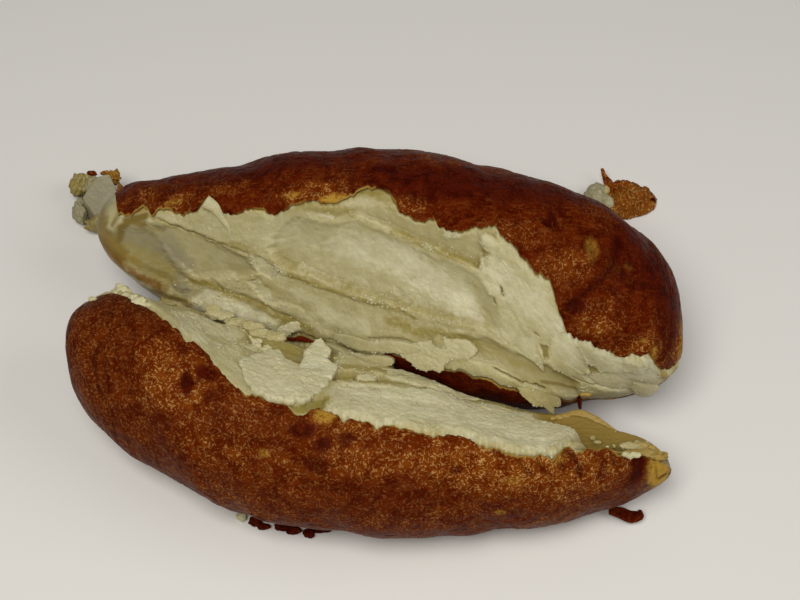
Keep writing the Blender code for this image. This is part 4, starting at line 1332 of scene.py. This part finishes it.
plain = {"torn": 20.0}                      # skin away from any torn edge
bareFlesh = {"proud": 0.0, "bare": 4.0}     # flesh away from any skin
pale = {"mealy": 1.0, "proud": 0.2, "bare": 4.0}
scrapOutline = ((60, 50.5), (59.5, 55), (60.5, 60), (63, 61.3), (69, 61), (73, 59), (74.8, 55.5),
                (73.8, 52.5), (70.5, 50.5), (66, 49.3), (62.5, 49.5))
chunkOutline = ((-71.8, 55.4), (-68.0, 56.0), (-64.9, 49.8), (-67.8, 46.9), (-72.7, 46.6), (-76.6, 51.0))


def scrapHeight(x, y):
    return 3.2 - 0.03 * (x - 67) ** 2 - 0.04 * (y - 54.5) ** 2


def chunkHeight(x, y):
    return np.clip(5.0 + 0.95 * (y - 47.5), 4.2, 13) - 0.10 * np.abs(x + 70.5)


def scrapPieces():
    # a blistered scrap of skin with a spike of it standing up, and a lump of torn flesh beside it
    sheet = moundGrid(scrapOutline, scrapHeight, 501,
                      rim=1.0, blister=1.5, ragged=0.5, grain=2.4, golden=1.0, yellow=0.12, **plain)
    spike = ribbonGrid(((62.8, 57.5, 2.0), (61.8, 59.6, 2.8), (60.9, 61.2, 3.5), (60.2, 62.9, 4.6)),
                       (2.0, 1.3, 0.7, 0.35), 0.5, 502, golden=0.8, **plain)
    rags = [lumpGrid((62.3, 50.6, 1.6), (2.2, 1.6, 1.5), 503, 0.6, golden=1.0, yellow=0.3, **plain),
            lumpGrid((65.5, 59.8, 1.6), (2.6, 1.4, 1.5), 504, 0.6, golden=0.9, **plain),
            lumpGrid((73.2, 54.6, 1.8), (0.7, 0.6, 1.0), 505, 0.5, crimson=0.9, **plain)]
    show(joinedGrids("scrap_skin", [sheet, spike] + rags), skin, "skin_scrap")
    lumps = [lumpGrid((58.6, 56.0, 1.8), (2.9, 3.8, 2.3), 511, 0.55, 2.6, 30, 46, mealy=0.4, glassy=0.55,
                      **bareFlesh),
             lumpGrid((58.9, 52.2, 1.5), (2.4, 3.2, 1.8), 512, 0.55, 2.6, 30, 46, mealy=0.4, glassy=0.35,
                      **bareFlesh),
             lumpGrid((61.4, 53.4, 2.4), (1.5, 2.0, 1.5), 513, 0.5, mealy=0.6, proud=0.3, bare=4.0,
                      bright=0.3, glassy=0.4),
             lumpGrid((60.9, 57.6, 2.3), (1.2, 1.4, 1.0), 514, 0.5, mealy=0.6, proud=0.1, bare=0.4,
                      dull=0.4)]
    show(joinedGrids("scrap_flesh", lumps), flaked, "skin_scrap")


def chunkPieces():
    # a pale glassy wedge of flesh with a flat sloping top, a yellow knob beside it and bits of skin on it
    facet = moundGrid(chunkOutline, chunkHeight, 521,
                      rim=1.6, blister=0.16, ragged=0.3, grain=3.0, mealy=0.25, glassy=0.85, **bareFlesh)
    knobs = [lumpGrid((-77.4, 56.8, 5.2), (2.3, 2.7, 3.7), 522, 0.8, 2.6, 34, 52, mealy=0.3, proud=0.0,
                      bare=0.6, dull=0.95, ochre=0.25),
             lumpGrid((-75.0, 58.4, 4.6), (2.2, 1.8, 3.4), 524, 0.5, 2.0, 24, 36, mealy=0.4, proud=0.0,
                      bare=0.4, dull=0.8),
             lumpGrid((-73.6, 55.8, 5.0), (2.4, 2.4, 4.4), 526, 0.4, 2.0, 24, 36, mealy=0.4, glassy=0.5,
                      dull=0.4, **bareFlesh),
             lumpGrid((-77.0, 50.4, 2.8), (2.2, 3.8, 2.8), 523, 0.8, 2.8, 34, 52, mealy=0.4, glassy=0.7,
                      dull=0.2, **bareFlesh),
             lumpGrid((-70.8, 45.8, 3.0), (4.8, 1.9, 2.6), 525, 0.8, 2.4, 30, 50, mealy=0.4, proud=0.0,
                      bare=1.0, glassy=0.2, dull=0.9, ochre=0.35)]
    show(joinedGrids("chunk_flesh", [facet] + knobs), flaked, "flesh_chunk")
    bits = [lumpGrid((-67.6, 56.4, 9.6), (1.5, 1.5, 2.2), 531, 1.0, 1.4, 24, 36, golden=1.0, yellow=0.6,
                     **plain),
            lumpGrid((-74.2, 58.6, 8.2), (1.3, 0.7, 0.7), 532, 1.0, 1.0, golden=0.2, **plain),
            lumpGrid((-69.4, 56.6, 11.0), (1.3, 0.6, 0.7), 534, 1.0, 1.0, golden=0.8, yellow=0.3, **plain),
            lumpGrid((-66.2, 53.0, 7.4), (0.8, 2.4, 2.2), 533, 0.8, 1.4, golden=0.9, yellow=0.3, **plain)]
    show(joinedGrids("chunk_skin", bits), skin, "flesh_chunk")


burntCrumbs = (
    (-27.8, -36.4, 1.2, 1.6, 1.1, 1.2), (-25.8, -37.6, 0.9, 1.4, 0.8, 0.9),
    (-21.5, -37.8, 1.2, 1.9, 1.0, 1.2), (-18.8, -38.6, 1.0, 1.7, 1.0, 1.0),
    (-15.2, -39.4, 1.1, 1.3, 1.2, 1.1), (-12.4, -38.4, 0.8, 2.2, 0.7, 0.8),
)
# lumps on the front half's face: x, across, height, half sizes, then values of the named attributes
rimClumps = (
    (-59.4, 6.6, 0.2, 1.5, 1.2, 1.0, 0.3), (-57.9, 4.4, 0.4, 1.9, 1.7, 1.4, 0.4),
    (-56.6, 2.2, 0.2, 1.2, 1.0, 0.8, 0.2), (-58.9, 2.8, 0.0, 1.0, 1.1, 0.7, 0.2),
    (-54.4, 1.8, 0.2, 1.3, 1.1, 0.7, 0.3), (-52.8, 1.2, 0.4, 1.7, 1.2, 1.0, 0.4),
    (-51.2, 2.4, 0.1, 1.2, 0.8, 0.7, 0.2), (-64.2, -2.2, 0.2, 0.9, 0.6, 0.5, 0.2),
    (51.4, 5.6, -1.6, 0.4, 0.3, 0.3, 0.1), (55.4, -1.8, 0.1, 1.5, 0.8, 0.7, 0.2),
    (53.9, -1.4, 0.0, 0.9, 0.5, 0.5, 0.1),
)
troughLumps = ((49.8, 8.8, -2.1, 0.8, 0.5, 0.4), (48.8, 10.4, -2.0, 0.6, 0.5, 0.4),
               (53.4, 7.6, -1.9, 0.4, 0.5, 0.4))
crumpledLip = (
    (56.4, 5.8, -0.9, 2.0, 0.9, 0.8, 0.1, 0.1), (58.8, 5.8, -0.5, 2.0, 1.1, 1.0, 0.6, 0.1),
    (61.0, 4.8, -0.3, 1.6, 1.2, 1.2, 0.8, 0.1), (62.8, 3.0, -0.1, 1.4, 1.2, 1.3, 0.8, 0.3),
    (57.4, 3.6, -1.1, 2.4, 0.7, 0.7, 0.5, 0.7), (60.0, 2.2, -0.5, 1.8, 1.0, 0.9, 0.7, 0.3),
    (58.4, 7.0, -0.3, 1.1, 0.7, 0.6, 0.0, 0.1), (61.8, 0.8, 0.2, 1.6, 0.8, 0.8, 0.9, 0.2),
    (64.2, 3.2, 0.3, 1.1, 0.9, 1.2, 0.9, 0.1), (60.2, 7.0, -0.2, 1.0, 0.7, 0.9, 0.2, 0.0),
)
# broken flakes along the cleft and crumbs in the hollow: how many, where along x and across, and their size
cleftFlakes = {
    "count": 10, "start": -38.5, "length": 16, "spread": 0.7, "across": 30.4, "slope": 0.10, "scatter": 1.5,
    "height": -1.0, "heightSpread": 0.5, "size": 0.9, "sizeSpread": 0.5, "dull": 0.1, "dullSpread": 0.45,
}
hollowCrumbs = {
    "count": 26, "start": -32, "length": 9.5, "across": 19.5, "scatter": 5.5, "height": -0.7, "size": 0.25,
    "sizeSpread": 0.6,
}
upRear = (0, -0.5, 0.8)                     # roughly outward from the rear half's face


def on(frame, x, across, height):
    return frame.at(np.array([x]), np.array([across]), np.array([height]))[0]


def lumpsFrom(table, place, seed, shape, names=(), **fields):
    # one lump for each row of a table; shape is its roughness, grain, rows and columns
    return [lumpGrid(place(*row[:3]), row[3:6], seed + i, *shape, **dict(zip(names, row[6:])), **fields)
            for i, row in enumerate(table)]


def skinBits(rear):
    # a dark curl of skin, burnt crumbs, and dark slivers in the cleft
    curl = ribbonGrid(((54.5, -34.0, 1.9), (57, -34.6, 2.0), (59.5, -35.6, 1.9), (61.2, -35.6, 2.6),
                       (61.3, -34.9, 3.8)),
                      (1.0, 1.5, 1.6, 1.2, 0.5), 0.55, 541, crimson=0.35, **plain)
    burnt = lumpsFrom(burntCrumbs, lambda *spot: spot, 550, (0.7, 0.9, 14, 22), crimson=0.8, **plain)
    dark = ribbonGrid([on(rear, *spot) for spot in ((46.3, 20.0, -0.9), (46.8, 22.2, -0.7),
                                                    (47.2, 24.4, -0.9))],
                      (0.5, 0.7, 0.4), 0.4, 561, crimson=0.9, **plain)
    sliver = ribbonGrid([on(rear, *spot) for spot in ((-23.6, 33.0, 0.2), (-20.0, 33.6, 0.0),
                                                      (-17.2, 34.0, -0.3), (-14.4, 35.0, -0.8))],
                        (0.1, 0.35, 0.75, 0.2), 0.3,
                        586, upRear, steps=40, rough=0.8, crimson=0.8, **plain)
    show(joinedGrids("skin_bits", [curl, dark, sliver] + burnt), skin, "skin_scrap")


def strewnLumps(near):
    # broken flakes along the cleft, then crumbs in the hollow behind the standing plate
    rng = np.random.default_rng(577)
    lumps, look = [], cleftFlakes
    for i in range(look["count"]):
        x = look["start"] + look["length"] * (i + look["spread"] * rng.random()) / look["count"]
        across = look["across"] - look["slope"] * (x + 38) - look["scatter"] * rng.random()
        spot = on(near, x, across, look["height"] + look["heightSpread"] * rng.random())
        size = look["size"] + look["sizeSpread"] * rng.random()
        lumps.append(lumpGrid(spot, (size * 2.2, size * 1.1, size * 0.7), 660 + i, 0.75, 1.9, 26, 40,
                              mealy=0.8, proud=0.1, bare=4.0,
                              dull=look["dull"] + look["dullSpread"] * rng.random()))
    look = hollowCrumbs
    for i in range(look["count"]):
        size = look["size"] + look["sizeSpread"] * rng.random() ** 2
        x = look["start"] + look["length"] * rng.random()
        spot = on(near, x, look["across"] + look["scatter"] * rng.random(), look["height"])
        lumps.append(lumpGrid(spot, (size * 1.3, size, size * 0.7), 620 + i, 0.9, 1.2, 12, 18, bright=0.15,
                              **pale))
    return lumps


def fleshBits(rear, near):
    # lumps and strips of flesh on the halves and in the cleft, and one crumb in front of them
    lumps = lumpsFrom(rimClumps, lambda *spot: on(near, *spot), 571, (1.0, 1.7, 26, 40), ("bright",),
                      **pale)
    lumps += lumpsFrom(troughLumps, lambda *spot: on(near, *spot), 640, (0.9, 0.9, 20, 32), mealy=0.3,
                       dull=0.6, **bareFlesh)
    lumps += strewnLumps(near)
    lumps.append(lumpGrid((-31.0, -35.2, 1.0), (1.3, 1.0, 1.0), 581, 0.6, 0.9, bright=0.3, **pale))
    lumps.append(lumpGrid(on(rear, 47.6, 18.6, -0.2), (1.5, 0.8, 0.6), 582, 0.6, 1.2, mealy=0.4, golden=0.9,
                          **bareFlesh))
    lumps += lumpsFrom(crumpledLip, lambda *spot: on(near, *spot), 590, (0.9, 1.3, 22, 34),
                       ("golden", "ochre"), mealy=0.5, **bareFlesh)
    lip = ribbonGrid([on(near, *spot) for spot in ((39.5, 17.4, -0.5), (43, 18.6, -0.5), (46.5, 18.9, -0.3),
                                                   (50, 17.8, -0.4), (54.5, 13.6, -0.7))],
                     (0.5, 0.8, 1.1, 0.9, 0.4), 0.35, 584, steps=90, rough=1.3, mealy=0.3, golden=0.7,
                     ochre=0.35, **bareFlesh)
    strand = ribbonGrid([on(rear, *spot) for spot in ((-38.5, -2.0, 0.2), (-36.5, -0.5, 0.4),
                                                      (-35.0, 2.0, 0.4), (-33.2, 5.5, 0.4),
                                                      (-33.0, 8.2, 0.4), (-33.8, 10.2, 0.1))],
                        (1.6, 1.3, 0.8, 0.5, 0.5, 0.3), 0.3, 583, upRear, steps=40, mealy=0.4, proud=0.1,
                        bare=4.0, bright=0.1)
    # the floor of the cleft is darkened toward olive, partly as painted shade
    floorOfCleft = ribbonGrid([on(rear, *spot) for spot in ((-52, 23, -1.2), (-44, 27.5, -0.7),
                                                            (-34.5, 31.5, -0.6), (-26, 34.2, -0.9),
                                                            (-16, 36, -2.2), (-6, 39, -2.4),
                                                            (3, 39.5, -2.6))],
                              (1.5, 3, 3.4, 3.6, 3.6, 3.2, 1.5), 1.2, 585, upRear, 40, 220, 0.9, mealy=0.5,
                              proud=0.0, bare=1.5, dull=0.75, ochre=0.22)
    show(joinedGrids("flesh_bits", lumps + [lip, strand, floorOfCleft]), flaked, "half_back")


def loosePieces():
    rear, near = FaceFrame(backHalf), FaceFrame(frontHalf)
    skinBits(rear)
    fleshBits(rear, near)


scrapPieces()
chunkPieces()
loosePieces()
print("loose pieces made")


stageLook = {"floor": 3.0, "floorColour": (0.78, 0.765, 0.73), "key": 2.9, "fill": 0.9, "world": 0.12}
cameraLook = {"lens": 63.6, "elevation": 60.0, "distance": 0.330, "aimHeight": 0.020,
              "shift": (0.03125, 0.05625)}


def floor():
    size = stageLook["floor"] / 2
    corners = np.array([(-size, -size, 0), (size, -size, 0), (size, size, 0), (-size, size, 0)])
    piece = facesMesh("floor", corners, np.array([[0, 1, 2, 3]]), np.zeros((0, 3), int))
    material, _, shader, _ = newMaterial("pale_floor")
    shader.inputs["Base Color"].default_value = (*stageLook["floorColour"], 1)
    shader.inputs["Roughness"].default_value = 0.55
    piece.data.materials.append(material)


def areaLight(name, place, aim, size, power, colour):
    light = bpy.data.lights.new(name, "AREA")
    light.size = size
    light.energy = power
    light.color = colour
    lamp = bpy.data.objects.new(name, light)
    bpy.context.scene.collection.objects.link(lamp)
    lamp.location = place
    gap = np.array(aim) - np.array(place)
    flatGap = math.hypot(gap[0], gap[1])
    lamp.rotation_euler = (math.atan2(flatGap, -gap[2]), 0, math.atan2(gap[1], gap[0]) - math.pi / 2)


def setWorld():
    world = bpy.data.worlds.new("studio")
    world.use_nodes = True
    background = world.node_tree.nodes["Background"]
    background.inputs["Color"].default_value = (1.0, 0.985, 0.96, 1)
    background.inputs["Strength"].default_value = stageLook["world"]
    bpy.context.scene.world = world


def setCamera():
    data = bpy.data.cameras.new("camera")
    data.lens = cameraLook["lens"]
    data.shift_x, data.shift_y = cameraLook["shift"]
    camera = bpy.data.objects.new("camera", data)
    bpy.context.scene.collection.objects.link(camera)
    rise = math.radians(cameraLook["elevation"])
    far = cameraLook["distance"]
    camera.location = (placeShift[0] * mm, placeShift[1] * mm - far * math.cos(rise),
                       cameraLook["aimHeight"] + far * math.sin(rise))
    camera.rotation_euler = (math.pi / 2 - rise, 0, 0)
    bpy.context.scene.camera = camera


floor()
areaLight("key", (-0.10, -0.22, 0.60), (0, 0, 0.02), 0.30, stageLook["key"], (1.0, 0.975, 0.93))
areaLight("fill", (0.45, -0.10, 0.45), (0, 0, 0.02), 0.40, stageLook["fill"], (1.0, 0.98, 0.95))
setWorld()
setCamera()
bpy.context.scene.view_settings.view_transform = "Standard"
